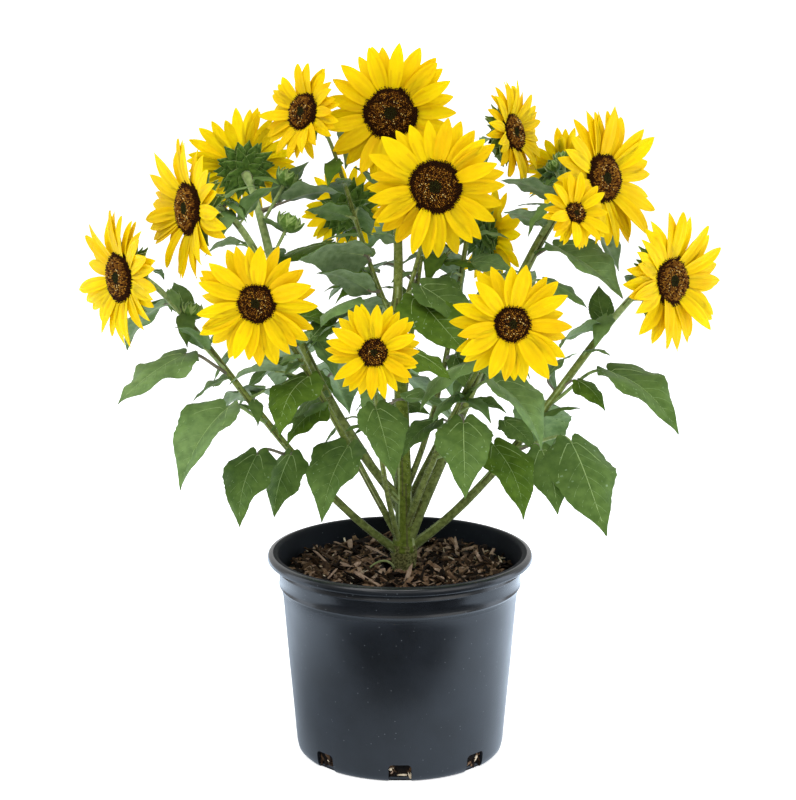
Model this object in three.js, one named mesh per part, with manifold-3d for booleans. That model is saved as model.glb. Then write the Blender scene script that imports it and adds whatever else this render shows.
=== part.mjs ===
// A branching dwarf sunflower in a round nursery pot, in millimetres, +Z up.
// The origin is the centre of the pot's flat underside, and the plant's front faces -Y.
// One main stem rises from the potting bark. Shoots leave it all round, and each one is a bare
// bough that carries a mass: its upper stem with leaves, buds and one to three blooms.

import * as THREE from 'three';
import { mergeVertices } from 'three/addons/utils/BufferGeometryUtils.js';
import Module from 'manifold-3d';

const wasm = await Module();
wasm.setup();

// Driving sizes of the pot and its filling
const potHeight = 198.5;
const lipRadius = 128.5;
const mouthRadius = 119;
const collarRadius = 117.5;
const shoulderRadius = 113;
const shoulderHeight = 158;
const baseRadius = 100.5;
const wall = 2.8;
const floorThickness = 3;
const potSides = 32;
const notchCount = 8;
const notchWidth = 21;
const notchHeight = 14;
const notchCorner = 4;
const notchDepth = 26;
const soilLevel = 178;
const seatRadius = 22;
const clearance = 0.3;

// Driving sizes of the plant
const stemHeight = 256;
const stemFootRadius = 7.6;
const stemTipRadius = 4.2;
const crownFlare = 4.4;
const crownHeight = 20;
const stemSides = 10;
const stemSteps = 9;
const boughSides = 6;
const boughSteps = 3;
const massSides = 5;
const massSteps = 7;
const branchSteps = 5;
const firstReach = 0.38;
const shootTaper = 0.36;
const branchTaper = 0.3;
const stalkRise = 20;
const stalkRadius = 1.5;
const leafThickness = 2.6;
const leafBow = 0.07;
const leafStations = [0.1, 0.36, 0.72];
const leafHalfWidths = [0.264, 0.31, 0.143];
const discProfile = [[0, -0.55], [0.72, -0.42], [1, 0], [0.62, 0.28], [0, 0.32]];
const discSides = 8;
const discSeat = 0.25;
const petalRoot = 0.36;
const petalThickness = 1.7;
const petalBow = 0.05;
const petalCup = 13;
const petalLift = 9;
const petalWidest = 0.52;
const budTwigRadius = 1.6;
const budBracts = 5;
const budBractLean = 50;
const elbowRoom = 0.15;

const up = new THREE.Vector3(0, 0, 1);
const degrees = THREE.MathUtils.degToRad;

// Shoots, from the lowest round to the top. foot: height on the main stem. leave: bearing and
// rise there. head: centre of the bloom's disc. face: the way the bloom looks, turned from the
// front and tipped up. bare: share of the shoot that is a bough without leaves.
// leaves: share along the shoot, bearing, stalk, blade, fall of the blade, and where they are
// not as usual the rise of the stalk, the turn of the blade from the stalk, and its roll.
// buds: share along the shoot, bearing, rise, twig length, bud width.
// rule: leaves that the seeded rule adds, and the middle bearing that they fan round.
// cup: how far the rays tip forward, where that is not as usual.
// Lengths are millimetres and turns are degrees.
const shoots = [
  {
    name: 'far_left', foot: 16, leave: [184, 33], head: [-261, -20, 469], face: [-57, -5],
    bloom: 128, disc: 43, neck: 45, girth: 4.7, bare: 0.25, petals: 13, rule: [2, 75],
    leaves: [
      [0.4, 230, 59, 97, 32, 20, 10], [0.31, 225, 49, 79, 40, 10, 30],
      [0.31, 255, 14, 64, 52, 15, -10], [0.53, 205, 49, 92, 20, 25, 25],
      [0.46, 30, 16, 62, 23, 25, 125, 20],
      [0.54, 235, 41, 41, -40, 40, -15, 20], [0.5, 150, 10, 42, 25, 25, 50],
      [0.7, 100, 12, 36, -45, 30, 20, -20],
    ],
    buds: [[0.72, 215, 60, 22, 13]],
  },
  {
    name: 'left_low', foot: 22, leave: [215, 60], head: [-128, -110, 459], face: [-10, 0],
    bloom: 110, disc: 36, neck: 40, girth: 4.2, bare: 0.26, petals: 13, rule: [1, 120],
    leaves: [
      [0.53, 240, 10, 80, 26, 20, 10], [0.32, 260, 14, 86, 38, 10, -10],
      [0.44, 235, 13, 55, 27, 10, -5],
      [0.52, 200, 40, 52, 2, 20, 15, 20],
    ],
  },
  {
    name: 'front', foot: 14, leave: [225, 66], head: [-23, -150, 422], face: [0, 8],
    bloom: 84, disc: 25, neck: 40, girth: 3.4, bare: 0.3, petals: 12, rule: [0, 90],
    leaves: [[0.55, 270, 14, 73, 44, 15, 20]],
  },
  {
    name: 'left_high', foot: 67, leave: [190, 45], head: [-194, -35, 535], face: [-60, -12],
    bloom: 130, disc: 49, neck: 60, girth: 4.8, bare: 0.18, petals: 13, rule: [2, 100],
    leaves: [
      [0.26, 150, 36, 45, 21, -2, 65], [0.3, 230, 12, 50, 26, 20, 0, 20],
      [0.64, 235, 44, 35, 11, 30, -20, 25], [0.78, 60, 12, 46, -44, 30, -60, -30],
      [0.48, 55, 13, 41, 9, 20, -80, 20], [0.42, 20, 15, 44, 50, 20, -65],
      [0.43, 330, 16, 38, -29, 30, 70, 30],
    ],
    buds: [[0.62, 40, 62, 60, 16], [0.6, 20, 45, 42, 17]],
    branches: [{
      from: 0.5, leave: [150, 68], head: [-152, 60, 565], face: [207, 38], cup: 24, bloom: 104,
      disc: 46, neck: 45, girth: 4.2, petals: 13,
      leaves: [[0.65, 20, 24, 48, -55, 30, -25, -35], [0.67, 350, 33, 60, -14, 20, -15, -25]],
    }],
  },
  {
    name: 'right_low', foot: 38, leave: [308, 64], head: [100, -110, 440], face: [12, 5],
    bloom: 108, disc: 34, neck: 40, girth: 4.4, bare: 0.24, petals: 13, rule: [0, 90],
    leaves: [
      [0.41, 280, 57, 82, 40, 10, -10], [0.28, 335, 63, 83, 36, 15, -40],
      [0.52, 325, 35, 82, 32, 20, -15], [0.62, 215, 15, 67, 26, 20, 5, 15],
      [0.43, 20, 22, 34, 0, 20, -45, 20], [0.49, 230, 13, 35, 29, 20, -5, 10],
    ],
  },
  {
    name: 'far_right', foot: 20, leave: [358, 33], head: [254, -10, 464], face: [49, 2],
    bloom: 130, disc: 39, neck: 50, girth: 4.8, bare: 0.26, petals: 13, rule: [2, 130],
    leaves: [
      [0.33, 335, 60, 106, 40, 10, -45], [0.32, 310, 44, 69, 43, 12, -25],
      [0.45, 345, 68, 95, 24, 30, -30], [0.5, 320, 22, 40, 30, 20, -5, 10],
      [0.66, 225, 12, 56, 6, 25, 0, 35], [0.69, 100, 12, 40, -50, 30, 0, -30],
      [0.48, 100, 28, 41, -26, 30, -60, -20], [0.38, 180, 23, 45, 26, 20, 135, 20],
    ],
  },
  {
    name: 'right_high', foot: 26, leave: [3, 66], head: [191, 10, 558], face: [49, 11],
    bloom: 134, disc: 43, neck: 60, girth: 5.8, bare: 0.22, petals: 13, rule: [3, 80],
    leaves: [
      [0.26, 225, 28, 52, 29, 15, -5], [0.34, 20, 36, 51, 34, 15, -65, 10],
      [0.64, 340, 25, 92, 22, 20, -25], [0.84, 220, 27, 53, -20, 10, -20, 20],
      [0.72, 225, 12, 48, -21, 30, -10, 20], [0.55, 320, 39, 51, 23, 20, 5, 10],
    ],
    buds: [[0.84, 170, 65, 34, 12], [0.84, 110, 70, 40, 13]],
    branches: [{
      from: 0.8, leave: [300, 40], head: [158, -70, 535], face: [30, 20], bloom: 68, disc: 21,
      neck: 30, girth: 2.8, petals: 13,
    }, {
      from: 0.75, leave: [70, 55], head: [160, 95, 557], face: [195, 30], bloom: 86, disc: 38,
      neck: 30, girth: 3.2, petals: 13,
    }],
  },
  {
    name: 'right_mid', foot: 78, leave: [20, 62], head: [106, 20, 600], face: [58, 14],
    bloom: 93, disc: 30, neck: 50, girth: 3.6, bare: 0.2, cup: 4, petals: 13, rule: [2, 60],
    leaves: [[0.49, 235, 14, 42, 29, 10, -15, 25], [0.31, 300, 20, 40, 50, 5, 0, 20]],
  },
  {
    name: 'rear_left', foot: 50, leave: [135, 50], head: [-147, 145, 421], face: [200, 10],
    bloom: 90, disc: 36, neck: 40, girth: 4, bare: 0.3, petals: 12, rule: [6, 130],
  },
  {
    name: 'rear_right', foot: 60, leave: [50, 52], head: [114, 135, 400], face: [160, 12],
    bloom: 86, disc: 34, neck: 40, girth: 4, bare: 0.3, petals: 12, rule: [6, 50],
  },
  {
    name: 'rear_low', foot: 30, leave: [100, 50], head: [-25, 185, 359], face: [182, 5],
    bloom: 70, disc: 26, neck: 35, girth: 3.6, bare: 0.3, petals: 12, rule: [5, 90],
    leaves: [[0.4, 170, 50, 40, 50, 20, 25, 20], [0.56, 335, 13, 40, 9, 20, 0, 20]],
  },
  {
    name: 'rear_high', foot: 150, leave: [80, 60], head: [32, 160, 531], face: [175, 10],
    bloom: 100, disc: 42, neck: 40, girth: 3.8, bare: 0.24, petals: 12, rule: [5, 80],
  },
  {
    name: 'back_left', foot: 190, leave: [120, 62], head: [-53, 110, 519], face: [195, 5],
    bloom: 88, disc: 38, neck: 40, girth: 2.9, bare: 0, petals: 12, rule: [2, 120],
    leaves: [[0.29, 255, 22, 57, 4, 32, -45, 45]],
  },
  {
    name: 'back_right', foot: 226, leave: [45, 58], head: [85, 85, 495], face: [125, 0],
    bloom: 95, disc: 36, neck: 40, girth: 2.9, bare: 0, petals: 12, rule: [2, 60],
    leaves: [[0.59, 330, 34, 46, 4, -2, -5, 30]],
  },
  {
    name: 'top_left', foot: 238, leave: [178, 62], head: [-90, 10, 620], face: [-44, 15],
    bloom: 90, disc: 37, neck: 35, girth: 2.9, bare: 0, petals: 13, rule: [1, 120],
    leaves: [
      [0.26, 245, 14, 71, -2, 30, -35, 50], [0.15, 210, 14, 58, -27, 10, -5, 40],
      [0.41, 215, 12, 43, -12, 20, -10, 40],
    ],
  },
  {
    name: 'centre', foot: 246, leave: [340, 66], head: [32, -45, 556], face: [0, 3],
    bloom: 128, disc: 49, neck: 45, girth: 2.9, bare: 0, petals: 13, rule: [0, 90],
    leaves: [[0.16, 322, 20, 74, 28, 25, 0, 20]],
  },
  {
    name: 'top', foot: 256, leave: [30, 85], head: [-9, 20, 618], face: [0, 5],
    bloom: 128, disc: 51, neck: 45, girth: 4.2, bare: 0, petals: 13, rule: [2, 80],
    leaves: [
      [0.46, 150, 14, 39, -32, 20, 5, 40], [0.4, 20, 16, 46, -10, 25],
      [0.28, 260, 14, 30, -17, 10, -55, 30],
    ],
  },
];

// A small repeatable source of numbers from 0 to 1, one stream for each seed
function makeRandom(seed) {
  let state = seed * 7919 + 17;
  return () => {
    state = (state * 48271) % 2147483647;
    return state / 2147483647;
  };
}

// Unit vector at a bearing round +Z (0 is +X, 270 is the front) and a rise above level
function direction(bearing, rise) {
  const b = degrees(bearing);
  const r = degrees(rise);
  return new THREE.Vector3(Math.cos(b) * Math.cos(r), Math.sin(b) * Math.cos(r), Math.sin(r));
}

// A point moved by steps, each a vector and how many times it is taken
function plus(p, ...steps) {
  return steps.reduce((sum, [v, k]) => sum.addScaledVector(v, k), p.clone());
}

// Closed geometry to solid: only the positions count, and shared vertices are merged
function toSolid(geometry) {
  geometry.deleteAttribute('normal');
  geometry.deleteAttribute('uv');
  const merged = mergeVertices(geometry, 1e-4);
  const mesh = new wasm.Mesh({
    numProp: 3,
    vertProperties: new Float32Array(merged.getAttribute('position').array),
    triVerts: new Uint32Array(merged.index.array),
  });
  return new wasm.Manifold(mesh);
}

// A sphere's rings pulled into a spindle with a point at each end. place(ring, side) gives each
// point, and ring runs from 0 at the first point to rings + 1 at the last.
function spindle(rings, sides, place) {
  const geometry = new THREE.SphereGeometry(1, sides, rings + 1);
  const position = geometry.getAttribute('position');
  for (let i = 0; i < position.count; i++) {
    const ring = Math.floor(i / (sides + 1));
    const p = place(ring, (i % (sides + 1)) % sides);
    position.setXYZ(i, p.x, p.y, p.z);
  }
  return toSolid(geometry);
}

// A tapering round limb: a cylinder bent along part of a curve
function limb(curve, from, to, radiusAt, sides, steps) {
  const frames = [];
  let normal = new THREE.Vector3(0.3, 1, 0.2);
  for (let i = 0; i <= steps; i++) {
    const along = from + (to - from) * i / steps;
    const tangent = curve.getTangent(along);
    normal = plus(normal, [tangent, -normal.dot(tangent)]).normalize();
    const binormal = new THREE.Vector3().crossVectors(tangent, normal);
    frames.push({ point: curve.getPoint(along), normal, binormal, radius: radiusAt(along) });
  }
  const geometry = new THREE.CylinderGeometry(1, 1, 1, sides, steps);
  const position = geometry.getAttribute('position');
  for (let i = 0; i < position.count; i++) {
    const frame = frames[Math.round((position.getY(i) + 0.5) * steps)];
    const p = plus(frame.point, [frame.normal, position.getZ(i) * frame.radius],
      [frame.binormal, position.getX(i) * frame.radius]);
    position.setXYZ(i, p.x, p.y, p.z);
  }
  return toSolid(geometry);
}

// The main stem's centre line leans a little, and its height is even along the curve
const stemCurve = new THREE.CubicBezierCurve3(
  new THREE.Vector3(4, 0, soilLevel),
  new THREE.Vector3(5, 0, soilLevel + stemHeight / 3),
  new THREE.Vector3(2, 0, soilLevel + 2 * stemHeight / 3),
  new THREE.Vector3(-3, 0, soilLevel + stemHeight),
);

function stemRadius(along) {
  const taper = stemFootRadius + (stemTipRadius - stemFootRadius) * along;
  const flare = crownFlare * Math.exp(-((along * stemHeight / crownHeight) ** 3));
  return taper + flare;
}

// Centre line of a shoot: out along its first direction, then up to the back of its bloom
function shootCurve(start, shoot) {
  const looks = direction(shoot.face[0] - 90, shoot.face[1]);
  const head = new THREE.Vector3(...shoot.head);
  const first = direction(...shoot.leave);
  const back = plus(head, [looks, -discSeat * shoot.disc]);
  const reach = head.distanceTo(start);
  return new THREE.CubicBezierCurve3(
    start,
    plus(start, [first, reach * firstReach]),
    plus(back, [looks, -shoot.neck]),
    back,
  );
}

// A petal or leaf as a three-sided blade: two edges and a keel under its middle line.
// widths: half width at each ring as a share of the length. stations: where the rings are.
function blade(base, axis, side, length, widths, stations, thickness, bow) {
  const face = new THREE.Vector3().crossVectors(axis, side);
  const places = [0, ...stations, 1];
  return spindle(stations.length, 3, (ring, corner) => {
    const along = places[ring];
    const rise = bow * length * 4 * along * (1 - along);
    const p = plus(base, [axis, along * length], [face, rise]);
    if (ring === 0 || ring > stations.length) return p;
    const half = widths[ring - 1] * length;
    if (corner === 1) return plus(p, [face, -thickness]);
    return plus(p, [side, corner === 0 ? half : -half]);
  });
}

// A leaf on its stalk. The stalk climbs, and the blade hangs from it, facing out and up.
// grow widens and thickens it by that share, to test its room.
function leaf(curve, row, grow) {
  const [along, bearing, stalk, length, fall, rise = stalkRise, turn = 0, roll = 0] = row;
  const root = curve.getPoint(along);
  const base = plus(root, [direction(bearing, rise), stalk]);
  const axis = direction(bearing + turn, -fall);
  const side = direction(bearing + turn + 90, 0).applyAxisAngle(axis, degrees(roll));
  const widths = leafHalfWidths.map((half) => half * (1 + grow));
  const plate = blade(plus(base, [axis, -stalkRadius]), axis, side, length, widths, leafStations,
    leafThickness * (1 + grow), leafBow);
  const path = new THREE.LineCurve3(root, base);
  return plate.add(limb(path, 0, 1, () => stalkRadius * (1 + grow), 3, 1));
}

// The rows that the seeded rule adds to a shoot, fanned round the middle bearing
function ruledLeaves(shoot, random) {
  const [count, middle] = shoot.rule;
  const rows = [];
  for (let k = 0; k < count; k++) {
    const along = shoot.bare + 0.12 + (0.72 - shoot.bare) * (k + random()) / count;
    const bearing = middle + (k % 2 ? 1 : -1) * (20 + 50 * random());
    const length = 62 + 30 * random();
    rows.push([along, bearing, 24 + 22 * random(), length, 20 + 35 * random()]);
  }
  return rows;
}

// A bloom's disc: a thick lens, domed in front and rounder behind
function bloomDisc(head, looks, disc) {
  const radius = disc / 2;
  const points = discProfile.map(([r, z]) => new THREE.Vector2(r * radius, z * radius));
  const geometry = new THREE.LatheGeometry(points, discSides);
  const turn = new THREE.Quaternion().setFromUnitVectors(new THREE.Vector3(0, 1, 0), looks);
  geometry.applyQuaternion(turn);
  geometry.translate(head.x, head.y, head.z);
  return toSolid(geometry);
}

// The rays of a bloom, each with its own lean, length and turn
function rays(shoot, random, grow) {
  const looks = direction(shoot.face[0] - 90, shoot.face[1]);
  const across = new THREE.Vector3().crossVectors(up, looks).normalize();
  const above = new THREE.Vector3().crossVectors(looks, across);
  const head = new THREE.Vector3(...shoot.head);
  const inner = petalRoot * shoot.disc;
  const solids = [];
  for (let k = 0; k < shoot.petals; k++) {
    const angle = 2 * Math.PI * (k + 0.3 * random()) / shoot.petals;
    const cup = shoot.cup ?? petalCup;
    const lift = cup + (k % 2 ? petalLift : -petalLift) + 8 * (random() - 0.5);
    const lean = degrees(lift);
    const length = (shoot.bloom / 2 - inner) * (0.98 + 0.08 * random()) / Math.cos(lean);
    const out = plus(new THREE.Vector3(), [across, Math.cos(angle)], [above, Math.sin(angle)]);
    const axis = plus(new THREE.Vector3(), [out, Math.cos(lean)], [looks, Math.sin(lean)]);
    const side = new THREE.Vector3().crossVectors(looks, out);
    const room = Math.PI * (inner + petalWidest * length) / shoot.petals;
    const width = (room / length) * (1 + grow);
    solids.push(blade(plus(head, [out, inner]), axis, side, length, [width], [petalWidest],
      petalThickness * (1 + grow), petalBow));
  }
  return solids;
}

// The green bracts that close over a bud
function bracts(head, looks, width) {
  const across = new THREE.Vector3().crossVectors(up, looks).normalize();
  const above = new THREE.Vector3().crossVectors(looks, across);
  const lean = degrees(budBractLean);
  const solids = [];
  for (let k = 0; k < budBracts; k++) {
    const angle = 2 * Math.PI * (k + 0.25) / budBracts;
    const out = plus(new THREE.Vector3(), [across, Math.cos(angle)], [above, Math.sin(angle)]);
    const axis = plus(new THREE.Vector3(), [out, Math.cos(lean)], [looks, Math.sin(lean)]);
    const side = new THREE.Vector3().crossVectors(looks, out);
    const base = plus(head, [out, 0.28 * width], [looks, -0.14 * width]);
    solids.push(blade(base, axis, side, 0.5 * width, [0.3], [0.35], 2, 0));
  }
  return solids;
}

const join = (solids) => solids.reduce((sum, solid) => sum.add(solid));

// A bud on its twig: a round green bud with bracts that close over it
function bud(curve, row) {
  const [along, bearing, rise, twig, width] = row;
  const root = curve.getPoint(along);
  const looks = direction(bearing, rise);
  const head = plus(root, [looks, twig]);
  const stalk = new THREE.LineCurve3(root, head);
  const body = bloomDisc(head, looks, width);
  return join([limb(stalk, 0, 1, () => budTwigRadius, 4, 1), body, ...bracts(head, looks, width)]);
}

// The largest connected piece of a solid, with any sealed hollow filled and scraps dropped
function whole(solid) {
  const pieces = solid.decompose();
  return pieces.reduce((best, piece) => (piece.volume() > best.volume() ? piece : best));
}

// Outline of the pot, from the middle of the underside, up the outside, over the lip and down
// the inside
function potProfile() {
  const inner = shoulderRadius - wall;
  return [
    [0, 0], [baseRadius - 5, 0], [baseRadius, 7],
    [shoulderRadius, shoulderHeight], [collarRadius - 1.5, shoulderHeight + 9],
    [collarRadius, 187], [lipRadius - 3, 188], [lipRadius, 191.5], [lipRadius - 3, potHeight],
    [mouthRadius, potHeight], [collarRadius - wall, 190], [inner, shoulderHeight],
    [baseRadius - wall, 9], [baseRadius - wall - 2, floorThickness], [0, floorThickness],
  ];
}

function lathe(profile, sides) {
  const points = profile.map(([r, z]) => new THREE.Vector2(r, z));
  const geometry = new THREE.LatheGeometry(points, sides);
  geometry.rotateX(Math.PI / 2);
  return geometry;
}

// The pot: a thin moulded shell with a rolled lip and notches for drainage round its foot
function makePot() {
  const shell = toSolid(lathe(potProfile(), potSides));
  const half = notchWidth / 2;
  const round = notchCorner;
  const outline = new THREE.Shape();
  outline.moveTo(-half, -2);
  outline.lineTo(half, -2);
  outline.lineTo(half, notchHeight - round);
  outline.lineTo(half - round, notchHeight);
  outline.lineTo(-half + round, notchHeight);
  outline.lineTo(-half, notchHeight - round);
  outline.closePath();
  const cutters = [];
  for (let k = 0; k < notchCount; k++) {
    const cutter = new THREE.ExtrudeGeometry(outline, { depth: notchDepth, bevelEnabled: false });
    cutter.rotateX(Math.PI / 2);
    cutter.translate(0, -(baseRadius + 10 - notchDepth), 0);
    cutter.rotateZ(2 * Math.PI * k / notchCount);
    cutters.push(toSolid(cutter));
  }
  return shell.subtract(join(cutters));
}

// The potting bark: it fills the pot, clear of the wall, and its top is lumpy but for a flat
// seat under the stem
function makeSoil() {
  const gap = clearance;
  const inner = shoulderRadius - wall;
  const profile = [
    [0, floorThickness + gap], [baseRadius - wall - 3, floorThickness + gap],
    [baseRadius - wall - gap, 10], [inner - gap, shoulderHeight],
    [collarRadius - wall - 3, soilLevel - 5], [86, soilLevel], [50, soilLevel],
    [seatRadius - 2, soilLevel], [0, soilLevel],
  ];
  const geometry = lathe(profile, potSides);
  const position = geometry.getAttribute('position');
  for (let i = 0; i < position.count; i++) {
    if (position.getZ(i) < soilLevel - 4) continue;
    const x = position.getX(i);
    const y = position.getY(i);
    const away = Math.min(Math.max((Math.hypot(x, y) - seatRadius) / 20, 0), 1);
    const lump = 2.2 * Math.sin(x / 9 + 1) * Math.cos(y / 11) + 1.2 * Math.sin((x + 2 * y) / 13);
    position.setZ(i, position.getZ(i) - gap + away * lump);
  }
  return toSolid(geometry);
}

// Everything that has its place already: petals and leaves of one mass keep off the others
const placed = [];

function overlaps(a, b) {
  const p = a.boundingBox();
  const q = b.boundingBox();
  for (let k = 0; k < 3; k++) {
    if (p.min[k] > q.max[k] || q.min[k] > p.max[k]) return false;
  }
  return a.intersect(b).volume() > 0;
}

function isClear(owner, solid) {
  return placed.every((other) => other.owner === owner || !overlaps(solid, other.solid));
}

function place(owner, solid) {
  placed.push({ owner, solid });
}

// A radius grown by the clearance, measured at the flats of a limb with that many sides
function wider(radiusAt, sides) {
  return (along) => radiusAt(along) + clearance / Math.cos(Math.PI / sides);
}

const stem = limb(stemCurve, 0, 1, stemRadius, stemSides, stemSteps);
const pot = makePot();
const soil = makeSoil();
const grownStem = limb(stemCurve, 0, 1, wider(stemRadius, stemSides), stemSides, stemSteps);
place('stem', grownStem);
place('pot', pot);
place('soil', soil);

// First the limbs of every shoot, each cut clear of the stem and of the limbs before it
const grown = [grownStem];

function clearLimb(curve, from, to, radiusAt, sides, steps) {
  const raw = limb(curve, from, to, radiusAt, sides, steps);
  return whole(grown.reduce((solid, other) => solid.subtract(other), raw));
}

shoots.forEach((shoot, index) => {
  shoot.random = makeRandom(index + 1);
  const start = stemCurve.getPoint(shoot.foot / stemHeight);
  if (shoot.foot === stemHeight) start.z += clearance;
  shoot.curve = shootCurve(start, shoot);
  const taper = (t) => shoot.girth * (1 - shootTaper * t);
  const { curve, bare } = shoot;
  const from = bare > 0 ? bare + clearance / curve.getLength() : 0;
  if (bare > 0) shoot.bough = clearLimb(curve, 0, bare, taper, boughSides, boughSteps);
  shoot.parts = [clearLimb(curve, from, 1, taper, massSides, massSteps)];
  if (bare > 0) grown.push(limb(curve, 0, bare, wider(taper, boughSides), boughSides, boughSteps));
  grown.push(limb(curve, from, 1, wider(taper, massSides), massSides, massSteps));
});

// Then the blooms, side branches and buds
for (const shoot of shoots) {
  if (shoot.bough) place(`${shoot.name} bough`, shoot.bough);
  for (const branch of shoot.branches ?? []) {
    branch.curve = shootCurve(shoot.curve.getPoint(branch.from), branch);
    const taper = (t) => branch.girth * (1 - branchTaper * t);
    shoot.parts.push(limb(branch.curve, 0, 1, taper, massSides, branchSteps));
  }
  for (const flower of [shoot, ...(shoot.branches ?? [])]) {
    const looks = direction(flower.face[0] - 90, flower.face[1]);
    const head = new THREE.Vector3(...flower.head);
    shoot.parts.push(bloomDisc(head, looks, flower.disc));
  }
  for (const row of shoot.buds ?? []) shoot.parts.push(bud(shoot.curve, row));
  for (const part of shoot.parts) place(shoot.name, part);
}

// Last the petals and leaves, each of them left out where it would touch another mass
for (const shoot of shoots) {
  for (const flower of [shoot, ...(shoot.branches ?? [])]) {
    const seed = Math.round(Math.abs(flower.head[0] * 7 + flower.head[2] * 3));
    const wide = rays(flower, makeRandom(seed), elbowRoom);
    rays(flower, makeRandom(seed), 0).forEach((petal, k) => {
      if (!isClear(shoot.name, wide[k])) return;
      shoot.parts.push(petal);
      place(shoot.name, petal);
    });
  }
}

function addLeaves(shoot, curve, rows) {
  for (const row of rows) {
    if (!isClear(shoot.name, leaf(curve, row, elbowRoom))) continue;
    const solid = leaf(curve, row, 0);
    shoot.parts.push(solid);
    place(shoot.name, solid);
  }
}

for (const shoot of shoots) {
  addLeaves(shoot, shoot.curve, shoot.leaves ?? []);
  for (const branch of shoot.branches ?? []) addLeaves(shoot, branch.curve, branch.leaves ?? []);
}
for (const shoot of shoots) addLeaves(shoot, shoot.curve, ruledLeaves(shoot, shoot.random));

const group = new THREE.Group();

function addNode(name, solid, colour, roughness) {
  const { vertProperties, triVerts } = solid.getMesh();
  const geometry = new THREE.BufferGeometry();
  geometry.setAttribute('position', new THREE.BufferAttribute(vertProperties, 3));
  geometry.setIndex(new THREE.BufferAttribute(triVerts, 1));
  const material = new THREE.MeshStandardMaterial({ color: colour, roughness, metalness: 0 });
  const mesh = new THREE.Mesh(geometry, material);
  mesh.name = name;
  group.add(mesh);
}

addNode('pot', pot, 0x23272d, 0.42);
addNode('soil', soil, 0x3d2d22, 0.95);
addNode('main_stem', stem, 0x6b7a4a, 0.75);
for (const shoot of shoots) {
  if (shoot.bough) addNode(`${shoot.name}_bough`, shoot.bough, 0x7c9158, 0.7);
  addNode(`${shoot.name}_mass`, whole(join(shoot.parts)), 0x5a8a3a, 0.6);
}

export default group;
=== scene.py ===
# %% [markdown]
# # A branching sunflower in a nursery pot
# The real thing is a young sunflower bush with about twenty blooms, grown in a black moulded pot
# of bark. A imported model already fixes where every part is, and how big. This file dresses it.
# Anything thin or crowded, such as a leaf or a ray, could be a flat card with a picture on it.
# Here each one is a real mesh with its own outline, veins and curl, so it holds up close.

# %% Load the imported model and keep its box
import math

import bpy
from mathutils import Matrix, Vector
from mathutils.kdtree import KDTree
import numpy as np


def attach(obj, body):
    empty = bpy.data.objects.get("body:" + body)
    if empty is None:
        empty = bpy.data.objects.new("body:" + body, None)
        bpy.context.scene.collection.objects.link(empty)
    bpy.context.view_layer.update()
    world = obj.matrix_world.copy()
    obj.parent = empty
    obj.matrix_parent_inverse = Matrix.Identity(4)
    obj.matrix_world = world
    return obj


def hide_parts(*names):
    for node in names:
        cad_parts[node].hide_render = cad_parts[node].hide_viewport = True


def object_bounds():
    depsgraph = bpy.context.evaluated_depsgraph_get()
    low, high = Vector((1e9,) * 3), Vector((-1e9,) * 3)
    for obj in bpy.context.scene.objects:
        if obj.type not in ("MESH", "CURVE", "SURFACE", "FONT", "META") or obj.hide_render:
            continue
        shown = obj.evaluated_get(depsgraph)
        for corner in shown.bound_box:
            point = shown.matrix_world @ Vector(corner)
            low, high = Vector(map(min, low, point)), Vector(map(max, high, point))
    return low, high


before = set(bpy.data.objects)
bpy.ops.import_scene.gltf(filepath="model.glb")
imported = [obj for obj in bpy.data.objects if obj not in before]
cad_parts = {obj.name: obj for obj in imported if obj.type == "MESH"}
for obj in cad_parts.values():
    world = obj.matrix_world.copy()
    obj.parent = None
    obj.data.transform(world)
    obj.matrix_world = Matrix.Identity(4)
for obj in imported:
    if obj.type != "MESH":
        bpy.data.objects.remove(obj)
cad_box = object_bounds()
print("the packed model has", len(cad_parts), "nodes")
print("its box reaches", [round(c, 3) for c in cad_box[1]])

# %% [markdown]
# ## Helpers for colour and shader nodes
# Colours are easiest to read as the hex values that a screen shows, but Blender's shaders want
# linear light, so one function turns each of them. Patterns are sized in millimetres, so another
# turns a grain of that size to a texture scale. One small function adds a node and wires it, and
# the others are the few set-ups of nodes that several materials share.

# %% Colour, scale and node helpers
def linear(colour):
    """An sRGB hex colour as linear red, green, blue and alpha."""
    parts = [int(colour[i:i + 2], 16) / 255 for i in (1, 3, 5)]
    return [p / 12.92 if p <= 0.04045 else ((p + 0.055) / 1.055) ** 2.4 for p in parts] + [1.0]


def per_metre(grain_mm):
    """The texture scale that makes one grain of a pattern about this many millimetres."""
    return 1000 / grain_mm


def add_node(tree, kind, settings, inputs):
    """Adds a shader node. An input is a value, or another node's output to link from."""
    node = tree.nodes.new(kind)
    for name, value in settings.items():
        setattr(node, name, value)
    for name, value in inputs.items():
        if isinstance(value, bpy.types.NodeSocket):
            tree.links.new(value, node.inputs[name])
        else:
            node.inputs[name].default_value = value
    return node


def new_material(name, settings):
    """A material with its shader set, and the object's own coordinates to lay patterns by."""
    material = bpy.data.materials.new(name)
    material.use_nodes = True
    tree = material.node_tree
    shader = tree.nodes["Principled BSDF"]
    for socket, value in settings.items():
        shader.inputs[socket].default_value = value
    place = add_node(tree, "ShaderNodeTexCoord", {}, {}).outputs["Object"]
    return material, tree, shader, place


def noise(tree, place, grain_mm, detail):
    """A soft noise with grains of the given size."""
    inputs = {"Vector": place, "Scale": per_metre(grain_mm), "Detail": detail}
    return add_node(tree, "ShaderNodeTexNoise", {}, inputs).outputs["Fac"]


def colour_ramp(tree, value, spread, low_colour, high_colour):
    """One colour where the value is below the spread, another above it, and a mix between."""
    ramp = add_node(tree, "ShaderNodeValToRGB", {}, {"Fac": value})
    first, last = ramp.color_ramp.elements
    first.position, last.position = spread
    first.color, last.color = low_colour, high_colour
    return ramp.outputs["Color"]


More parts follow.
